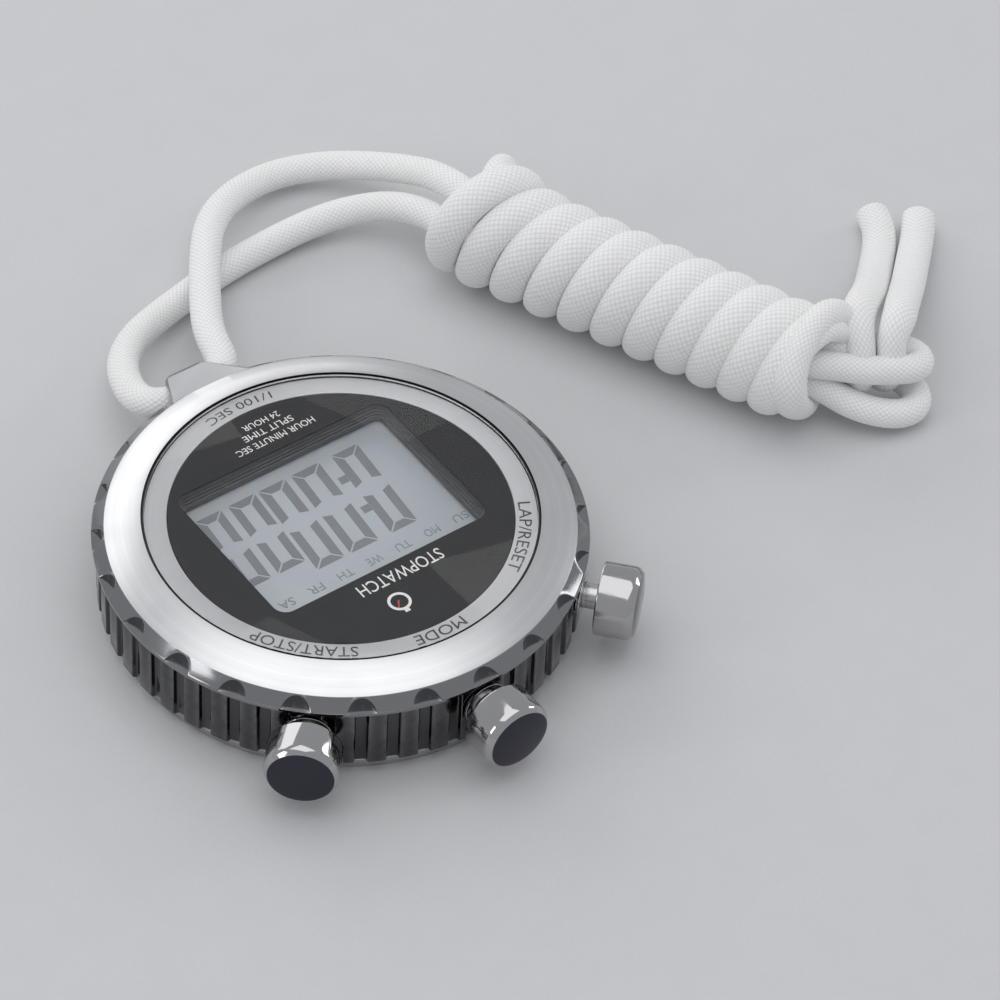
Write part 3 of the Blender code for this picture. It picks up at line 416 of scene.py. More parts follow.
def new_material(name, color, metallic=0.0, roughness=0.5):
    made = bpy.data.materials.new(name)
    made.use_nodes = True
    shader = made.node_tree.nodes["Principled BSDF"]
    shader.inputs["Base Color"].default_value = (*color, 1.0)
    shader.inputs["Metallic"].default_value = metallic
    shader.inputs["Roughness"].default_value = roughness
    return made, made.node_tree, shader


def add_bump(tree, shader, height, depth, strength=1.0):
    """Gives a surface relief from a height of 0 to 1, so deep in millimetres."""
    bump = put(tree, "Bump", {"Height": height, "Strength": strength, "Distance": depth * MM})
    tree.links.new(bump.outputs["Normal"], shader.inputs["Normal"])


def tint(tree, shader, tone, low, high):
    """Varies the base colour between two colours by a tone of 0 to 1."""
    tree.links.new(mix_colors(tree, tone, low, high), shader.inputs["Base Color"])


def bezel_metal():
    """Bright turned metal on the cone, and a polished chamfer outside its shoulder, coloured darker as
    painted shade.
    """
    made, tree, shader = new_material("bezel_metal", (0.82, 0.82, 0.83), 1.0, 0.28)
    marks = use_group(tree, turned_marks, Rings=9.0)
    worn = use_group(tree, handling, Patch_Size=9.0, Scratch_Size=0.8)
    place = put(tree, "TexCoord").outputs["Object"]
    flat = put(tree, "VectorMath", {0: place, 1: (1000, 1000, 0)}, operation="MULTIPLY").outputs[0]
    radius = put(tree, "VectorMath", {0: flat}, operation="LENGTH").outputs["Value"]
    outside = ramp(tree, radius, CASE_RADIUS - CHAMFER_WIDTH - 0.05, CASE_RADIUS - CHAMFER_WIDTH + 0.08)
    bright = mix_colors(tree, marks["Tone"], (0.62, 0.62, 0.63), (0.80, 0.80, 0.80))
    # Painted shade: the bore wall inside the cone is coloured almost black.
    bore = CASE_RADIUS - CHAMFER_WIDTH - CONE_WIDTH
    inside = ramp(tree, radius, bore + 0.01, bore + 0.05, 1.0, 0.0)
    # Painted shade: the chamfer takes a much darker copy of the cone's metal.
    outer = mix_colors(tree, outside, bright, (0.28, 0.28, 0.29))
    tree.links.new(mix_colors(tree, inside, outer, (0.03, 0.03, 0.03)), shader.inputs["Base Color"])
    satin = math_node(tree, "MULTIPLY_ADD", worn["Smudge"], 0.06, 0.30)
    polished = math_node(tree, "MULTIPLY_ADD", worn["Smudge"], 0.06, 0.10)
    finish = put(tree, "Mix", {"Factor": outside, 2: satin, 3: polished}).outputs[0]
    dull = math_node(tree, "MAXIMUM", finish, math_node(tree, "MULTIPLY", inside, 0.6))
    tree.links.new(dull, shader.inputs["Roughness"])
    relief = math_node(tree, "MULTIPLY_ADD", worn["Scratch"], -0.5, marks["Height"])
    add_bump(tree, shader, relief, 0.004)
    return made


def dark_chrome():
    made, tree, shader = new_material("dark_chrome", (0.2, 0.2, 0.21), 1.0, 0.14)
    worn = use_group(tree, handling, Patch_Size=5.0, Scratch_Size=0.9)
    edges = use_group(tree, edge_wear_and_highlight, Start=0.53, Full=0.66)
    # The edge mask brightens edges: wear and a painted highlight together.
    tint(tree, shader, edges["Wear And Highlight"], (0.085, 0.085, 0.09), (0.34, 0.34, 0.35))
    tree.links.new(math_node(tree, "MULTIPLY_ADD", worn["Smudge"], 0.14, 0.10), shader.inputs["Roughness"])
    add_bump(tree, shader, worn["Scratch"], 0.003)
    return made


def polished_chrome(name, low, high):
    made, tree, shader = new_material(name, high, 1.0, 0.08)
    worn = use_group(tree, handling, Patch_Size=4.0, Scratch_Size=0.7)
    edges = use_group(tree, edge_wear_and_highlight, Start=0.54, Full=0.70)
    # The edge mask brightens edges: wear and a painted highlight together.
    tint(tree, shader, edges["Wear And Highlight"], low, high)
    tree.links.new(math_node(tree, "MULTIPLY_ADD", worn["Smudge"], 0.10, 0.06), shader.inputs["Roughness"])
    add_bump(tree, shader, worn["Scratch"], 0.003)
    return made


def satin_metal(name, low, high, roughness, rings=7.0):
    """Turned or rolled metal with fine marks, smudges and brighter edges."""
    made, tree, shader = new_material(name, high, 1.0, roughness)
    marks = use_group(tree, turned_marks, Rings=rings)
    worn = use_group(tree, handling, Patch_Size=7.0, Scratch_Size=0.9)
    tint(tree, shader, marks["Tone"], low, high)
    finish = math_node(tree, "MULTIPLY_ADD", worn["Smudge"], 0.12, roughness)
    tree.links.new(finish, shader.inputs["Roughness"])
    relief = math_node(tree, "MULTIPLY_ADD", worn["Scratch"], -0.6, marks["Height"])
    add_bump(tree, shader, relief, 0.004)
    return made


def grained(name, low, high, roughness, grain, depth, coat=0.0, gloss=0.5):
    """Moulded plastic, rubber, paint or print: an even grain and a little variation of tone."""
    made, tree, shader = new_material(name, high, 0.0, roughness)
    grains = use_group(tree, speckle, Size=grain)
    worn = use_group(tree, handling, Patch_Size=6.0, Scratch_Size=0.8)
    shader.inputs["Coat Weight"].default_value = coat
    shader.inputs["Specular IOR Level"].default_value = gloss
    tint(tree, shader, grains["Tone"], low, high)
    finish = math_node(tree, "MULTIPLY_ADD", worn["Smudge"], 0.10, roughness)
    tree.links.new(finish, shader.inputs["Roughness"])
    add_bump(tree, shader, grains["Height"], depth)
    return made


def ring_silver():
    made, tree, shader = new_material("ring_silver", (0.5, 0.5, 0.51), 0.6, 0.5)
    grains = use_group(tree, speckle, Size=0.12)
    marks = use_group(tree, turned_marks, Rings=14.0)
    tint(tree, shader, marks["Tone"], (0.46, 0.46, 0.475), (0.60, 0.60, 0.61))
    add_bump(tree, shader, math_node(tree, "ADD", grains["Height"], marks["Height"]), 0.004)
    return made


def clear_glass():
    """The watch glass. Light passes it freely, so that the display below isn't dimmed."""
    made, tree, shader = new_material("clear_glass", (1.0, 1.0, 1.0), 0.0, 0.02)
    worn = use_group(tree, handling, Patch_Size=12.0, Scratch_Size=1.2)
    shader.inputs["Transmission Weight"].default_value = 1.0
    shader.inputs["IOR"].default_value = 1.3
    tree.links.new(math_node(tree, "MULTIPLY_ADD", worn["Smudge"], 0.02, 0.01), shader.inputs["Roughness"])
    free = put(tree, "BsdfTransparent")
    path = put(tree, "LightPath")
    blend = put(tree, "MixShader", {0: path.outputs["Is Shadow Ray"], 1: shader.outputs[0],
                                    2: free.outputs[0]})
    tree.links.new(blend.outputs[0], tree.nodes["Material Output"].inputs["Surface"])
    return made


def display_glass():
    """Grey liquid crystal glass, with a faint cloudy variation of tone."""
    made, tree, shader = new_material("display_grey", (0.33, 0.37, 0.41), 0.0, 0.32)
    grains = use_group(tree, speckle, Size=0.09)
    place = put(tree, "TexCoord").outputs["Object"]
    cloud = put(tree, "TexNoise", {"Vector": place, "Scale": 55.0, "Detail": 2.0}).outputs[0]
    tone = math_node(tree, "MULTIPLY_ADD", grains["Tone"], 0.35, math_node(tree, "MULTIPLY", cloud, 0.7))
    tint(tree, shader, tone, (0.33, 0.36, 0.39), (0.41, 0.44, 0.47))
    shader.inputs["Coat Weight"].default_value = 0.5
    shader.inputs["Coat Roughness"].default_value = 0.06
    add_bump(tree, shader, grains["Height"], 0.002)
    return made


def board_green():
    """Solder mask over copper tracks."""
    made, tree, shader = new_material("board_green", (0.03, 0.16, 0.08), 0.0, 0.35)
    place = put(tree, "TexCoord").outputs["Object"]
    cells = put(tree, "TexVoronoi", {"Vector": place, "Scale": 420.0},
                feature="DISTANCE_TO_EDGE").outputs[0]
    tracks = ramp(tree, cells, 0.05, 0.09, 1.0, 0.0)
    grains = use_group(tree, speckle, Size=0.1)
    tint(tree, shader, tracks, (0.015, 0.10, 0.05), (0.05, 0.24, 0.11))
    add_bump(tree, shader, math_node(tree, "ADD", tracks, grains["Height"]), 0.01)
    return made


def cord_braid():
    """White braided sleeve. The stitches follow the cord's own map."""
    made, tree, shader = new_material("cord_braid", (0.86, 0.86, 0.84), 0.0, 0.62)
    stitches = use_group(tree, braid, Stitches_Round=STITCHES_ROUND)
    place = put(tree, "TexCoord").outputs["Object"]
    soil = put(tree, "TexNoise", {"Vector": place, "Scale": 70.0, "Detail": 5.0}).outputs[0]
    # Painted shade: the stitch colour darkens in the gaps between the stitches.
    stitch_colour_with_painted_shade = mix_colors(tree, stitches["Tone"], (0.76, 0.76, 0.755), (0.96, 0.96, 0.955))
    handled = mix_colors(tree, ramp(tree, soil, 0.5, 0.8, 0.0, 0.25), stitch_colour_with_painted_shade, (0.80, 0.79, 0.75))
    tree.links.new(handled, shader.inputs["Base Color"])
    shader.inputs["Sheen Weight"].default_value = 0.25
    shader.inputs["Sheen Roughness"].default_value = 0.5
    shader.inputs["Subsurface Weight"].default_value = 0.08
    shader.inputs["Subsurface Scale"].default_value = 0.0006
    add_bump(tree, shader, stitches["Height"], 0.09, 0.7)
    return made


def floor_paper():
    made, tree, shader = new_material("floor_paper", (0.62, 0.62, 0.63), 0.0, 0.85)
    grains = use_group(tree, speckle, Size=0.5)
    tint(tree, shader, grains["Tone"], (0.60, 0.60, 0.61), (0.64, 0.64, 0.65))
    return made


# ---- making and finishing pieces ---------------------------------------------------------------------

def eased(profile, segments=3):
    """Rounds the corners of a profile. Each point is (radius, height) or (radius, height, easing)."""
    points = [Vector(point[:2]) for point in profile]
    made = []
    for index, point in enumerate(profile):
        here = points[index]
        if len(point) < 3:
            made.append(here)
            continue
        before = (points[index - 1] - here)
        after = (points[(index + 1) % len(points)] - here)
        start = here + before.normalized() * min(point[2], before.length * 0.45)
        end = here + after.normalized() * min(point[2], after.length * 0.45)
        for step in range(segments + 1):
            share = step / segments
            made.append(start * (1 - share) ** 2 + here * 2 * share * (1 - share) + end * share ** 2)
    return made


def turned(profile, steps=128, segments=3):
    """Spins a profile of (radius, height, easing) round Z. One that starts and ends on the axis makes a
    solid, and any other makes a ring."""
    shape = bmesh.new()
    points = eased(profile, segments)
    corners = [shape.verts.new((point.x, 0, point.y)) for point in points]
    edges = [shape.edges.new(pair) for pair in zip(corners, corners[1:])]
    if points[0].x > 0:
        edges.append(shape.edges.new((corners[-1], corners[0])))
    bmesh.ops.spin(shape, geom=corners + edges, cent=(0, 0, 0), axis=(0, 0, 1), dvec=(0, 0, 0),
                   angle=2 * math.pi, steps=steps, use_merge=True, use_duplicate=False)
    bmesh.ops.remove_doubles(shape, verts=shape.verts, dist=0.0004)
    bmesh.ops.recalc_face_normals(shape, faces=shape.faces)
    return shape


def prism(outline, low, high):
    """A flat outline raised from one height to another."""
    shape = bmesh.new()
    base = shape.faces.new([shape.verts.new((x, y, low)) for x, y in outline])
    raised = bmesh.ops.extrude_face_region(shape, geom=[base])
    tops = [item for item in raised["geom"] if isinstance(item, bmesh.types.BMVert)]
    bmesh.ops.translate(shape, vec=(0, 0, high - low), verts=tops)
    bmesh.ops.recalc_face_normals(shape, faces=shape.faces)
    return shape


def block(low, high, easing=0.0, segments=2):
    """A box with eased edges."""
    low, high = Vector(low), Vector(high)
    shape = bmesh.new()
    bmesh.ops.create_cube(shape, size=1.0)
    bmesh.ops.scale(shape, vec=high - low, verts=shape.verts)
    bmesh.ops.translate(shape, vec=(low + high) / 2, verts=shape.verts)
    if easing:
        bmesh.ops.bevel(shape, geom=shape.edges[:], offset=easing, segments=segments, profile=0.5,
                        affect="EDGES", material=-1)
    return shape


def rounded_rectangle(width, height, corner, middle=(0.0, 0.0), steps=8):
    """The outline of a rectangle with round corners, always with the same number of points."""
    made = []
    for quarter, (right, up) in enumerate(((1, 1), (-1, 1), (-1, -1), (1, -1))):
        turn_x = middle[0] + right * (width / 2 - corner)
        turn_y = middle[1] + up * (height / 2 - corner)
        for step in range(steps + 1):
            angle = math.radians(90 * (quarter + step / steps))
            made.append((turn_x + corner * math.cos(angle), turn_y + corner * math.sin(angle)))
    return made


def loose_object(shape, name):
    mesh = bpy.data.meshes.new(name)
    shape.to_mesh(mesh)
    shape.free()
    made = bpy.data.objects.new(name, mesh)
    bpy.context.scene.collection.objects.link(made)
    return made


def cut_away(shape, *cutters):
    """Takes the cutters out of a shape."""
    target = loose_object(shape, "blank")
    tools = [loose_object(cutter, "cutter") for cutter in cutters]
    for tool in tools:
        change = target.modifiers.new("cut", "BOOLEAN")
        change.operation = "DIFFERENCE"
        change.solver = "EXACT"
        change.object = tool
    shaped = target.evaluated_get(bpy.context.evaluated_depsgraph_get())
    result = bmesh.new()
    result.from_mesh(shaped.to_mesh())
    shaped.to_mesh_clear()
    for item in [target, *tools]:
        mesh = item.data
        bpy.data.objects.remove(item)
        bpy.data.meshes.remove(mesh)
    bmesh.ops.remove_doubles(result, verts=result.verts, dist=0.0004)
    bmesh.ops.dissolve_degenerate(result, edges=result.edges, dist=0.0004)
    return result


def turn_to_button(shape, degrees):
    """Lays a shape made along Z on a button's axis, with Z as the distance from the watch's middle."""
    place = Matrix.Translation((0, 0, BUTTON_Z)) @ Matrix.Rotation(math.radians(degrees), 4, "Z")
    bmesh.ops.transform(shape, matrix=place @ Matrix.Rotation(math.radians(-90), 4, "X"), verts=shape.verts)
    return shape


def finish_piece(shape, name, material, body="case", replaced=(), sharp=32):
    """Turns a shape in millimetres into a piece in metres that rides on a body."""
    bmesh.ops.scale(shape, vec=(MM, MM, MM), verts=shape.verts)
    made = loose_object(shape, name)
    made.data.shade_smooth()
    made.data.set_sharp_from_angle(angle=math.radians(sharp))
    made.data.materials.append(material)
    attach(made, body)
    if replaced:
        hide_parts(*replaced)
    return made


# ---- the case ----------------------------------------------------------------------------------------

def bezel_shape():
    """A cone and a notched chamfer. Each notch has its own columns of points, set round its wall."""
    columns = 24
    in_notch = 15
    slope = (CASE_TOP - CONE_DROP - FLANGE_Z - FLANGE_THICKNESS) / CHAMFER_WIDTH
    shoulder_z = CASE_TOP - CONE_DROP
    floor_z = FLANGE_Z + FLANGE_THICKNESS
    mouth = CASE_RADIUS - CHAMFER_WIDTH - CONE_WIDTH
    shoulder = CASE_RADIUS - CHAMFER_WIDTH
    centre = CASE_RADIUS + 0.4
    rim_angle = 76.1
    rounding = 0.07
    # Rings of the profile. The last number says how the ring follows a notch's wall.
    profile = [
        (mouth, FLANGE_Z, None), (mouth, CASE_TOP - 0.1, None), (mouth + 0.03, CASE_TOP - 0.03, None),
        (mouth + 0.1, CASE_TOP - 0.03, None), (mouth + 2.3, CASE_TOP - 0.8, None),
        (shoulder - 0.08, shoulder_z + 0.028, None), (shoulder, shoulder_z - 0.02, None),
        (shoulder + 0.02, shoulder_z - 0.05, None), (30.80, 0, "above"), (30.93, 0, "lip"),
        (30.96, 0, "wall"), (30.975, floor_z - 0.006, "foot"), (CASE_RADIUS, floor_z - 0.05, None),
        (CASE_RADIUS, FLANGE_Z + 0.08, None), (CASE_RADIUS - 0.08, FLANGE_Z, None),
    ]
    shape = bmesh.new()
    corners = [shape.verts.new((radius, 0, height)) for radius, height, follow in profile]
    edges = [shape.edges.new(pair) for pair in zip(corners, corners[1:])]
    edges.append(shape.edges.new((corners[-1], corners[0])))
    ring_of = {}
    steps = NOTCH_COUNT * columns
    for number, corner in enumerate(corners):
        ring_of[(round(profile[number][0], 3), round(profile[number][1], 3))] = number
    bmesh.ops.spin(shape, geom=corners + edges, cent=(0, 0, 0), axis=(0, 0, 1), dvec=(0, 0, 0),
                   angle=2 * math.pi, steps=steps, use_merge=True, use_duplicate=False)
    half_gap = math.degrees(math.atan2(NOTCH_RADIUS * math.sin(math.radians(rim_angle)),
                                       centre - NOTCH_RADIUS * math.cos(math.radians(rim_angle))))
    for vert in shape.verts:
        ring = ring_of[(round(vert.co.to_2d().length, 3), round(vert.co.z, 3))]
        follow = profile[ring][2]
        turn = math.degrees(math.atan2(vert.co.y, vert.co.x)) % 360
        column = round(turn * steps / 360) % steps
        notch, place = divmod(column, columns)
        if follow is None:
            radius = vert.co.to_2d().length
            angle = math.radians((column - (in_notch - 1) / 2) * 360 / steps)
            vert.co = (radius * math.cos(angle), radius * math.sin(angle), vert.co.z)
            continue
        radius, height = profile[ring][0], vert.co.z
        if place < in_notch:
            side = math.radians(-rim_angle + 2 * rim_angle * place / (in_notch - 1))
            grown = {"above": 0.20, "lip": rounding, "wall": 0.0, "foot": 0.0}[follow]
            out = centre - (NOTCH_RADIUS + grown) * math.cos(side)
            across = (NOTCH_RADIUS + grown) * math.sin(side)
            offset = math.degrees(math.atan2(across, out))
            notched = math.hypot(out, across)
            closest = {"above": 0.035, "lip": 0.055, "wall": 0.1, "foot": 0.1}[follow]
            radius = max(min(radius, notched), shoulder + closest)
        else:
            share = (place - in_notch + 1) / (columns - in_notch + 1)
            offset = half_gap + share * (360 / NOTCH_COUNT - 2 * half_gap)
        top = floor_z + (CASE_RADIUS - radius) * slope
        if follow == "wall":
            height = max(top - rounding, floor_z + 0.01)
        elif follow == "foot":
            height = floor_z
        else:
            height = top
        angle = math.radians(notch * 360 / NOTCH_COUNT + offset)
        vert.co = (radius * math.cos(angle), radius * math.sin(angle), height)
    bmesh.ops.recalc_face_normals(shape, faces=shape.faces)
    relief = block((-5.9, -40, 5), (5.9, -29.2, 20))
    return cut_away(shape, relief)


def case_body_shape():
    """A ribbed ring, with a neck under the bezel and over the back cover."""
    low, high = body_low.z, FLANGE_Z - SHADOW_GAP
    bore = CASE_RADIUS - 6.0
    profile = [
        (bore, cover_high.z), (28.6, cover_high.z), (28.6, low), (RIB_RADIUS - 0.5, low),
        (RIB_RADIUS - 0.12, low + 0.22), (RIB_RADIUS, low + 0.5), (RIB_RADIUS, high - 0.5),
        (RIB_RADIUS - 0.12, high - 0.22), (RIB_RADIUS - 0.5, high), (29.0, high), (29.0, FLANGE_Z),
        (bore, FLANGE_Z),
    ]
    per_rib = 16
    steps = RIB_COUNT * per_rib
    shape = turned(profile, steps)
    edge = math.degrees(GROOVE_WIDTH / 2 / RIB_RADIUS)
    pitch = 360 / RIB_COUNT
    # How far each column of points lies from its groove's middle, and how deep it is cut.
    columns = [(0.0, 1.0), (0.35, 1.0), (0.62, 0.97), (0.80, 0.82), (0.90, 0.50), (0.97, 0.15), (1.08, 0.0)]
    for vert in shape.verts:
        radius = vert.co.to_2d().length
        if radius < RIB_RADIUS - 0.6:
            continue
        turn = math.degrees(math.atan2(vert.co.y, vert.co.x)) % 360
        column = round(turn * steps / 360) % steps
        rib, place = divmod(column, per_rib)
        mirrored = place > per_rib // 2
        if mirrored:
            place = per_rib - place
        if place < len(columns):
            offset, depth = columns[place][0] * edge, columns[place][1]
        else:
            rest = pitch / 2 - 1.08 * edge
            offset = 1.08 * edge + rest * (place - len(columns) + 1) / (per_rib // 2 - len(columns) + 1)
            depth = 0.0
        if mirrored:
            offset = pitch - offset
        radius -= depth * min(GROOVE_DEPTH, radius - (RIB_RADIUS - 1.1))
        angle = math.radians(rib * pitch + offset)
        vert.co = (radius * math.cos(angle), radius * math.sin(angle), vert.co.z)
    holes = []
    for degrees in BUTTONS.values():
        hole = turned([(0, 20), (BUSHING_RADIUS, 20), (BUSHING_RADIUS, 34), (0, 34)], 48)
        holes.append(turn_to_button(hole, degrees))
    return cut_away(shape, *holes)


def lug_shape():
    """A wedge that grows out of the case, with a tunnel across it for the cord."""
    half, tip = LUG_BASE_WIDTH / 2, LUG_TIP_WIDTH / 2
    outline = [(-half - 0.3, -28.6), (-half, LUG_CREASE_Y), (-tip, LUG_TIP_Y), (tip, LUG_TIP_Y),
               (half, LUG_CREASE_Y), (half + 0.3, -28.6)]
    top = CASE_TOP - CONE_DROP
    shape = prism(outline, LUG_BOTTOM, top)
    for vert in shape.verts:
        if vert.co.z > LUG_BOTTOM + 1:
            vert.co.z = top - LUG_SLOPE * max(0.0, LUG_CREASE_Y - vert.co.y)
    uprights = []
    for edge in shape.edges:
        first, second = edge.verts
        if (first.co - second.co).to_2d().length < 0.01 and first.co.y < LUG_TIP_Y + 0.01:
            uprights.append(edge)
    bmesh.ops.bevel(shape, geom=uprights, offset=0.9, segments=6, profile=0.5, affect="EDGES", material=-1)
    rims = []
    for edge in shape.edges:
        first, second = edge.verts
        level = (first.co.z > LUG_BOTTOM + 1) == (second.co.z > LUG_BOTTOM + 1)
        outside = first.co.y < LUG_CREASE_Y + 0.01 and second.co.y < LUG_CREASE_Y + 0.01
        across = abs(first.co.y - LUG_CREASE_Y) < 0.01 and abs(second.co.y - LUG_CREASE_Y) < 0.01
        if level and outside and not across:
            rims.append(edge)
    bmesh.ops.bevel(shape, geom=rims, offset=0.4, segments=4, profile=0.5, affect="EDGES", material=-1)
    bmesh.ops.recalc_face_normals(shape, faces=shape.faces)
    bore = TUNNEL_DIAMETER / 2
    tunnel = turned([(0, -9), (bore + 2.2, -9), (bore + 0.55, -4.55), (bore + 0.2, -3.95), (bore, -3.3),
                     (bore, 3.3), (bore + 0.2, 3.95), (bore + 0.55, 4.55), (bore + 2.2, 9), (0, 9)], 48)
    place = Matrix.Translation((0, TUNNEL_Y, TUNNEL_Z)) @ Matrix.Rotation(math.radians(90), 4, "Y")
    bmesh.ops.transform(tunnel, matrix=place, verts=tunnel.verts)
    return cut_away(shape, tunnel)


def back_cover_shape(screw_places):
    radius, top = cover_high.x, cover_high.z
    profile = [(0, 0.05), (17.9, 0.05), (18.2, 0.25), (18.8, 0.25), (19.1, 0.05), (24.0, 0.05), (24.6, 0),
               (radius, 0, 0.4), (radius, top, 0.2), (0, top)]
    shape = turned(profile, 192)
    holes = []
    for x, y in screw_places:
        hole = turned([(0, -1), (1.45, -1), (1.45, 0.08), (1.28, 0.25), (1.28, 1.0), (0, 1.0)], 32)
        bmesh.ops.translate(hole, vec=(x, y, 0), verts=hole.verts)
        holes.append(hole)
    return cut_away(shape, *holes)


def screw_shape(x, y, turn, low=0.15, high=0.95):
    """A slotted cheese head, seen from below."""
    head = turned([(0, low), (1.2, low, 0.15), (1.2, high), (0, high)], 40)
    slot = block((-2, -0.225, low - 1), (2, 0.225, low + 0.35))
    angle = Matrix.Rotation(math.radians(turn), 3, "Z")
    bmesh.ops.rotate(slot, cent=(0, 0, 0), matrix=angle, verts=slot.verts)
    made = cut_away(head, slot)
    bmesh.ops.translate(made, vec=(x, y, 0), verts=made.verts)
    return made


def make_case(metal, chrome, steel):
    finish_piece(bezel_shape(), "bezel_ring", metal, replaced=("bezel",), sharp=20)
    finish_piece(case_body_shape(), "ribbed_case", chrome, replaced=("case_body",), sharp=30)
    finish_piece(lug_shape(), "case_lug", metal, sharp=24)
    places = []
    for number in range(4):
        low, high = node_box("back_screw_%d" % (number + 1))
        places.append(((low.x + high.x) / 2, (low.y + high.y) / 2))
    finish_piece(back_cover_shape(places), "back_plate", steel, replaced=("back_cover",))
    for number, (x, y) in enumerate(places):
        shape = screw_shape(x, y, 35 + 67 * number)
        finish_piece(shape, "cover_screw_%d" % (number + 1), steel,
                     replaced=("back_screw_%d" % (number + 1),))


# ---- the buttons ---------------------------------------------------------------------------------------

def make_buttons(chrome, chrome_with_painted_shade, steel):
    for name, degrees in BUTTONS.items():
        body = name + "_button"
        # The cap is hollow behind, round the stem.
        cap = turned([(0, CAP_FRONT), (3.2, 38.13), (4.1, 37.95), (CAP_RADIUS, 37.3, 0.55),
                      (CAP_RADIUS, CAP_BACK, 0.25), (3.9, CAP_BACK, 0.15), (3.7, CAP_SOCKET),
                      (0, CAP_SOCKET)], 96, 4)
        # Painted shade: the front faces take a near-black copy of the cap's chrome.
        front = [face for face in cap.faces if face.calc_center_median().z > CAP_FACE]
        for face in front:
            face.material_index = 1
        made = finish_piece(turn_to_button(cap, degrees), name + "_button_cap", chrome,
                            body, (name + "_cap",), 28)
        made.data.materials.append(chrome_with_painted_shade)
        stem = turned([(0, STEM_TIP), (ROD_RADIUS, STEM_TIP, 0.15), (ROD_RADIUS, STEM_SHOULDER),
                       (STEM_RADIUS, STEM_SHOULDER, 0.1), (STEM_RADIUS, STEM_TOP), (0, STEM_TOP)], 48)
        finish_piece(turn_to_button(stem, degrees), name + "_button_stem", steel, body,
                     (name + "_plunger",))
        collar = turned([(BUSHING_BORE, 25.4), (BUSHING_RADIUS, 25.4), (BUSHING_RADIUS, 30.6),
                         (COLLAR_RADIUS, 30.6, 0.1), (COLLAR_RADIUS, 31.0, 0.12),
                         (BUSHING_BORE, 31.0, 0.1)], 64)
        finish_piece(turn_to_button(collar, degrees), name + "_button_collar", chrome,
                     "case", (name + "_bushing",))


# ---- glass, ring, face and display ---------------------------------------------------------------------

def lettering(text, height, width, depth=0.02):
    """Raised flat letters, centred on the origin, with their capitals so high and the line so wide."""
    curve = bpy.data.curves.new("letters", "FONT")
    curve.body = text
    curve.resolution_u = 3
    curve.extrude = 0.5
    holder = bpy.data.objects.new("letters", curve)
    bpy.context.scene.collection.objects.link(holder)
    shaped = holder.evaluated_get(bpy.context.evaluated_depsgraph_get())
    shape = bmesh.new()
    shape.from_mesh(shaped.to_mesh())
    shaped.to_mesh_clear()
    bpy.data.objects.remove(holder)
    bpy.data.curves.remove(curve)
    bmesh.ops.remove_doubles(shape, verts=shape.verts, dist=0.0001)
    lows = [min(vert.co[axis] for vert in shape.verts) for axis in range(3)]
    highs = [max(vert.co[axis] for vert in shape.verts) for axis in range(3)]
    middle = [(low + high) / 2 for low, high in zip(lows, highs)]
    bmesh.ops.translate(shape, vec=[-value for value in middle], verts=shape.verts)
    size = (width / (highs[0] - lows[0]), height / (highs[1] - lows[1]), depth / (highs[2] - lows[2]))
    bmesh.ops.scale(shape, vec=size, verts=shape.verts)
    return shape


def bend_round(shape, radius, degrees, inward=False):
    """Bends a line of letters round the middle. Degrees count clockwise from 12 o'clock. The letters'
    tops point away from the middle, or towards it."""
    for vert in shape.verts:
        turn = vert.co.x / radius * (-1 if inward else 1)
        out = radius - vert.co.y if inward else radius + vert.co.y
        angle = math.radians(90 - degrees) - turn
        vert.co.x = out * math.cos(angle)
        vert.co.y = out * math.sin(angle)
    return shape


def join_shapes(shapes):
    """Puts several shapes together as one."""
    joined = bmesh.new()
    for shape in shapes:
        mesh = bpy.data.meshes.new("part")
        shape.to_mesh(mesh)
        shape.free()
        joined.from_mesh(mesh)
        bpy.data.meshes.remove(mesh)
    return joined


def moved(shape, x, y, z):
    bmesh.ops.translate(shape, vec=(x, y, z), verts=shape.verts)
    return shape


def digit_zero(left, right, bottom, top, gap_low, gap_high, stroke=1.2):
    """The six lit segments of a nought, as outlines that lean with the display."""
    slant = 0.087
    clear = 0.16
    half = stroke / 2
    segments = [
        [(left - half + clear, top), (right + half - clear, top), (right - half - clear, top - stroke),
         (left + half + clear, top - stroke)],
        [(left - half + clear, bottom), (left + half + clear, bottom + stroke),
         (right - half - clear, bottom + stroke), (right + half - clear, bottom)],
    ]
    for side in (left, right):
        out = -half if side == left else half
        segments.append([(side + out, top - clear), (side - out, top - stroke - clear),
                         (side - out, gap_high + 0.45), (side + out, gap_high)])
        segments.append([(side + out, bottom + clear), (side + out, gap_low),
                         (side - out, gap_low - 0.45), (side - out, bottom + stroke + clear)])
    made = []
    for outline in segments:
        made.append(prism([(x + slant * y, y) for x, y in outline], 0, 0.02))
    return made


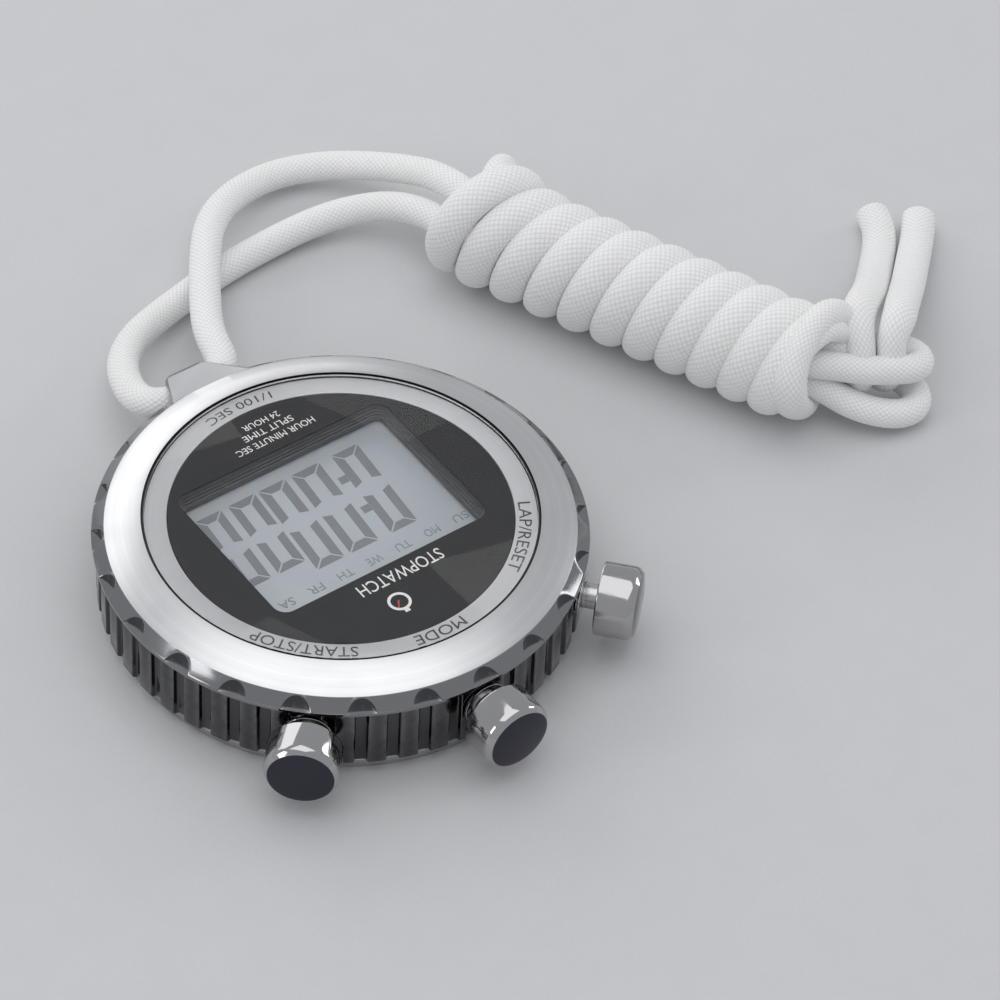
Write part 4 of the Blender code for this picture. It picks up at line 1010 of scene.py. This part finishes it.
def make_front(glass, rubber, silver, mask, plastic, grey, ink, white, red, dark, faint):
    lens = turned([(0, lens_low.z), (lens_high.x, lens_low.z, 0.06), (lens_high.x, lens_high.z, 0.12),
                   (0, lens_high.z)], 192)
    finish_piece(lens, "watch_glass", glass, replaced=("lens",))
    low, high = gasket_low.z, gasket_high.z
    seal = turned([(24.56, low), (24.74, low), (24.74, high, 0.05), (24.56, high, 0.05)], 192)
    finish_piece(seal, "glass_seal", rubber, replaced=("lens_gasket",))

    low, high = ring_low.z, ring_high.z
    ring = turned([(21.6, low), (24.4, low), (24.4, high, 0.06), (21.6, high, 0.08)], 192)
    finish_piece(ring, "legend_ring", silver, replaced=("dial_ring",))
    legends = [
        bend_round(lettering("START/STOP", 1.6, 13.4), 22.85, 46.4),
        bend_round(lettering("MODE", 1.6, 7.0), 22.85, 2.8),
        bend_round(lettering("LAP/RESET", 1.6, 12.0), 22.85, -46.9),
        bend_round(lettering("1/100 SEC", 1.25, 9.6), 23.0, 180, inward=True),
    ]
    finish_piece(moved(join_shapes(legends), 0, 0, high + 0.008), "ring_legends", ink)

    low, high = mask_low.z, mask_high.z
    face = turned([(0, low), (21.5, low), (21.5, high, 0.06), (0, high)], 192)
    window = rounded_rectangle(WINDOW_WIDTH, WINDOW_HEIGHT, WINDOW_CORNER, (0, WINDOW_Y))
    face = cut_away(face, prism(window, low - 1, high + 1))
    finish_piece(face, "face_plate", mask, replaced=("face_mask",))
    prints = [
        moved(lettering("STOPWATCH", 1.9, 12.3), -0.5, 12.0, 0),
        moved(lettering("HOUR MINUTE SEC", 1.05, 11.6), -1.0, -15.9, 0),
        moved(lettering("SPLIT TIME", 1.05, 7.4), -1.0, -17.6, 0),
        moved(lettering("24 HOUR", 1.0, 5.4), -1.0, -19.2, 0),
    ]
    dial = turned([(1.12, 0), (1.5, 0), (1.5, 0.02), (1.12, 0.02)], 48)
    crown = prism([(-0.35, 1.5), (0.35, 1.5), (0.35, 1.95), (-0.35, 1.95)], 0, 0.02)
    prints += [moved(dial, 2.4, 15.9, -0.01), moved(crown, 2.4, 15.9, -0.01)]
    finish_piece(moved(join_shapes(prints), 0, 0, high + 0.008), "face_prints", white)
    hand = prism([(-0.14, -0.2), (0.16, -0.2), (0.75, 0.82), (0.62, 0.9)], 0, 0.02)
    finish_piece(moved(hand, 2.4, 15.9, high), "emblem_hand", red)

    well = turned([(0, well_low.z), (well_high.x, well_low.z), (well_high.x, well_high.z, 0.08),
                   (0, well_high.z)], 160)
    cutters = []
    for inset, floor in ((0.0, 12.55), (0.27, 12.25), (0.54, 11.95), (0.8, 10.5)):
        outline = rounded_rectangle(WINDOW_WIDTH - 2 * inset, WINDOW_HEIGHT - 2 * inset,
                                    WINDOW_CORNER - inset, (0, WINDOW_Y))
        cutters.append(prism(outline, floor, 14 + inset))
    finish_piece(cut_away(well, *cutters), "display_well", plastic, replaced=("lcd_frame",))

    low = (panel_low.x, panel_low.y, panel_low.z)
    high = (panel_high.x, panel_high.y, panel_high.z - 0.05)
    finish_piece(block(low, high, 0.12), "display_plate", grey, replaced=("lcd_panel",))
    digits = []
    for left, right in ((-8.6, -5.9), (-2.8, 0.2), (2.3, 5.1)):
        digits += digit_zero(left, right, -11.2, 3.7, -5.0, -3.3)
    for left, right in ((6.8, 9.6), (11.8, 14.5)):
        digits += digit_zero(left, right, -11.2, 1.6, -5.4, -4.0, 1.15)
    for y in (-1.4, -7.0):
        digits.append(prism([(x - 4.7 + 0.087 * y, y + rise) for x, rise in
                             ((-0.6, -0.6), (0.6, -0.6), (0.68, 0.6), (-0.52, 0.6))], 0, 0.02))
    finish_piece(moved(join_shapes(digits), 0, 0, high[2] + 0.002), "display_digits", dark)
    days = []
    for number, day in enumerate(("SU", "MO", "TU", "WE", "TH", "FR", "SA")):
        days.append(moved(lettering(day, 1.25, 2.1), -13.6 + 4.3 * number, 6.2, 0))
    finish_piece(moved(join_shapes(days), 0, 0, high[2] + 0.012), "display_days", faint)


# ---- the cord ------------------------------------------------------------------------------------------

def smooth_route(stretches, spacing):
    """A smooth even line through the stretches' points. Gives places, section sizes and face directions."""
    points, sections, faces = [], [], []
    for number, (stretch, section) in enumerate(stretches):
        for place in stretch:
            points.append(Vector(place))
            sections.append(section)
            if section is WRAP_SECTION:
                along = (points[-1].to_2d() - HANK_START).dot(HANK_AXIS)
                middle = HANK_START + HANK_AXIS * along
                faces.append((points[-1] - Vector((middle.x, middle.y, HANK_Z))).normalized())
            else:
                faces.append(Vector((0, 0, 1)))
    places, widths, normals = [], [], []
    for number in range(len(points) - 1):
        ends = [points[max(0, number - 1)], points[number], points[number + 1],
                points[min(len(points) - 1, number + 2)]]
        for step in range(24):
            t = step / 24
            curve = (ends[1] * 2 + (ends[2] - ends[0]) * t
                     + (ends[0] * 2 - ends[1] * 5 + ends[2] * 4 - ends[3]) * t * t
                     + (ends[1] * 3 - ends[0] - ends[2] * 3 + ends[3]) * t ** 3) / 2
            places.append(curve)
            pair = [a * (1 - t) + b * t for a, b in zip(sections[number], sections[number + 1])]
            widths.append(pair)
            normals.append(faces[number].lerp(faces[number + 1], t))
    places.append(points[-1])
    widths.append(list(sections[-1]))
    normals.append(faces[-1])
    travelled = [0.0]
    for first, second in zip(places, places[1:]):
        travelled.append(travelled[-1] + (second - first).length)
    length = travelled[-1]
    count = round(length / spacing)
    line, sizes, upward = [], [], []
    index = 0
    for step in range(count + 1):
        goal = length * step / count
        while index < len(places) - 2 and travelled[index + 1] < goal:
            index += 1
        share = (goal - travelled[index]) / max(1e-9, travelled[index + 1] - travelled[index])
        line.append(places[index].lerp(places[index + 1], share))
        sizes.append([a * (1 - share) + b * share for a, b in zip(widths[index], widths[index + 1])])
        upward.append(normals[index].lerp(normals[index + 1], share))
    # A cord can't turn sharply, so each place moves to the middle of its neighbours.
    reach = 6
    for _ in range(3):
        relaxed = []
        for index in range(len(line)):
            near = min(reach, index, len(line) - 1 - index)
            group = line[index - near:index + near + 1]
            relaxed.append(sum(group, Vector((0, 0, 0))) / len(group))
        line = relaxed
    length = sum((second - first).length for first, second in zip(line, line[1:]))
    return line, sizes, upward, length


def make_cord(name, stretches, replaced, material):
    """A braided tube along a route, with stitches in relief and a sealed tip."""
    around = POINTS_ROUND
    line, sizes, upward, length = smooth_route(stretches, RING_SPACING)
    reach = 6
    smooth_sizes = []
    for index in range(len(sizes)):
        near = sizes[max(0, index - reach):index + reach + 1]
        smooth_sizes.append([sum(size[axis] for size in near) / len(near) for axis in (0, 1)])
    step_length = length / (len(line) - 1)
    up = Vector((0, 0, 1))
    places, faces, map_points = [], [], []
    for index, place in enumerate(line):
        ahead = line[min(len(line) - 1, index + 1)]
        behind = line[max(0, index - 1)]
        forward = (ahead - behind).normalized()
        up = (up - forward * up.dot(forward)).normalized()
        wanted = upward[index] - forward * upward[index].dot(forward)
        if wanted.dot(up) < 0:
            wanted = -wanted
        up = (up + wanted * 0.06).normalized()
        side = forward.cross(up)
        width, thickness = smooth_sizes[index]
        left = (len(line) - 1 - index) * step_length
        narrow = math.sqrt(max(0.0, 1 - (1 - min(1.0, left / 1.1)) ** 2)) if left < 1.1 else 1.0
        narrow = max(narrow, 0.25)
        flat = min(1.0, left / 3.5)
        for spot in range(around):
            angle = 2 * math.pi * spot / around
            rise = index * step_length / STITCH_LENGTH + STITCHES_ROUND * spot / around
            fall = index * step_length / STITCH_LENGTH - STITCHES_ROUND * spot / around
            stitch = abs(math.sin(math.pi * rise) * math.sin(math.pi * fall)) ** 0.6
            relief = 1 + (0.04 * stitch - 0.03) * flat
            offset = (side * (math.cos(angle) * width / 2) + up * (math.sin(angle) * thickness / 2))
            places.append(place + offset * (relief * narrow))
    rings = len(line)
    for index in range(rings - 1):
        for spot in range(around):
            after = (spot + 1) % around
            faces.append((index * around + spot, index * around + after,
                          (index + 1) * around + after, (index + 1) * around + spot))
            start, end = index * step_length / STITCH_LENGTH, (index + 1) * step_length / STITCH_LENGTH
            here, there = spot / around, (spot + 1) / around
            map_points += [(start, here), (start, there), (end, there), (end, here)]
    for ring in (0, rings - 1):
        cap = [ring * around + spot for spot in range(around)]
        faces.append(cap if ring else cap[::-1])
        map_points += [(ring * step_length / STITCH_LENGTH, 0.5)] * around
    mesh = bpy.data.meshes.new(name)
    mesh.from_pydata([place * MM for place in places], [], faces)
    layer = mesh.uv_layers.new(name="along_and_round")
    layer.data.foreach_set("uv", [value for pair in map_points for value in pair])
    mesh.validate()
    shape = bmesh.new()
    shape.from_mesh(mesh)
    bmesh.ops.recalc_face_normals(shape, faces=shape.faces)
    shape.to_mesh(mesh)
    shape.free()
    mesh.shade_smooth()
    mesh.materials.append(material)
    made = bpy.data.objects.new(name, mesh)
    bpy.context.scene.collection.objects.link(made)
    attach(made, "case")
    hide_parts(*replaced)


# ---- the inner parts -----------------------------------------------------------------------------------

def finish_nodes(materials):
    """Gives every solid that stays its own finish."""
    for node, material in materials.items():
        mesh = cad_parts[node].data
        mesh.materials.clear()
        mesh.materials.append(material)


# ---- put it all together -------------------------------------------------------------------------------

metal = bezel_metal()
case_chrome = dark_chrome()
button_chrome = polished_chrome("polished_chrome", (0.46, 0.455, 0.46), (0.66, 0.66, 0.66))
# A near-black copy of the chrome for the caps' fronts: painted shade.
chrome_with_painted_shade = polished_chrome("chrome_with_painted_shade", (0.055, 0.055, 0.07), (0.12, 0.12, 0.14))
steel = satin_metal("turned_steel", (0.50, 0.50, 0.50), (0.66, 0.66, 0.66), 0.26)
brass = satin_metal("contact_brass", (0.66, 0.47, 0.20), (0.82, 0.63, 0.32), 0.28)
foil = satin_metal("reflector_foil", (0.72, 0.72, 0.72), (0.86, 0.86, 0.86), 0.35, 12.0)
rubber = grained("seal_rubber", (0.012, 0.012, 0.013), (0.03, 0.03, 0.031), 0.55, 0.10, 0.01)
face_black = grained("face_black", (0.006, 0.006, 0.0065), (0.014, 0.014, 0.015), 0.42, 0.08, 0.004,
                     gloss=0.2)
well_black = grained("well_plastic", (0.05, 0.05, 0.052), (0.10, 0.10, 0.103), 0.42, 0.10, 0.008)
holder_plastic = grained("holder_plastic", (0.62, 0.62, 0.60), (0.78, 0.78, 0.76), 0.45, 0.15, 0.01)
epoxy = grained("chip_epoxy", (0.008, 0.008, 0.008), (0.03, 0.03, 0.03), 0.30, 0.5, 0.05)
legend_ink = grained("legend_ink", (0.015, 0.015, 0.016), (0.04, 0.04, 0.042), 0.45, 0.08, 0.004)
face_white = grained("face_white", (0.62, 0.62, 0.62), (0.80, 0.80, 0.80), 0.50, 0.08, 0.004)
emblem_red = grained("emblem_red", (0.42, 0.02, 0.02), (0.62, 0.04, 0.03), 0.45, 0.08, 0.004)
lit_segments = grained("lit_segments", (0.155, 0.165, 0.18), (0.19, 0.20, 0.215), 0.35, 0.10, 0.001)
faint_marks = grained("faint_marks", (0.17, 0.19, 0.21), (0.22, 0.24, 0.26), 0.35, 0.10, 0.001)
white_braid = cord_braid()

make_camera()
make_studio()
bpy.ops.mesh.primitive_plane_add(size=8, location=(0, 0, 0))
floor = bpy.context.object
floor.name = "floor"
floor.data.materials.append(floor_paper())

make_cord("neck_cord_a", strand_a(),
          ("cord_leg_a", "cord_tail_a", "cord_hank"), white_braid)
make_cord("neck_cord_b", strand_b(),
          ("cord_leg_b", "cord_tail_b"), white_braid)
make_case(metal, case_chrome, steel)
make_buttons(button_chrome, chrome_with_painted_shade, steel)
make_front(clear_glass(), rubber, ring_silver(), face_black, well_black, display_glass(), legend_ink,
           face_white, emblem_red, lit_segments, faint_marks)

inner = {
    "back_gasket": rubber, "lcd_reflector": foil, "zebra_strip_top": rubber, "zebra_strip_bottom": rubber,
    "circuit_board": board_green(), "module_holder": holder_plastic, "board_screw_1": steel,
    "board_screw_2": steel, "battery": steel, "battery_clip": steel, "battery_contact": brass,
    "buzzer": brass, "buzzer_spring": steel, "chip_cover": epoxy, "quartz_can": steel,
}
for name in BUTTONS:
    inner[name + "_seal"] = rubber
    inner[name + "_spring"] = steel
    inner[name + "_clip"] = steel
    inner[name + "_contact"] = brass
finish_nodes(inner)
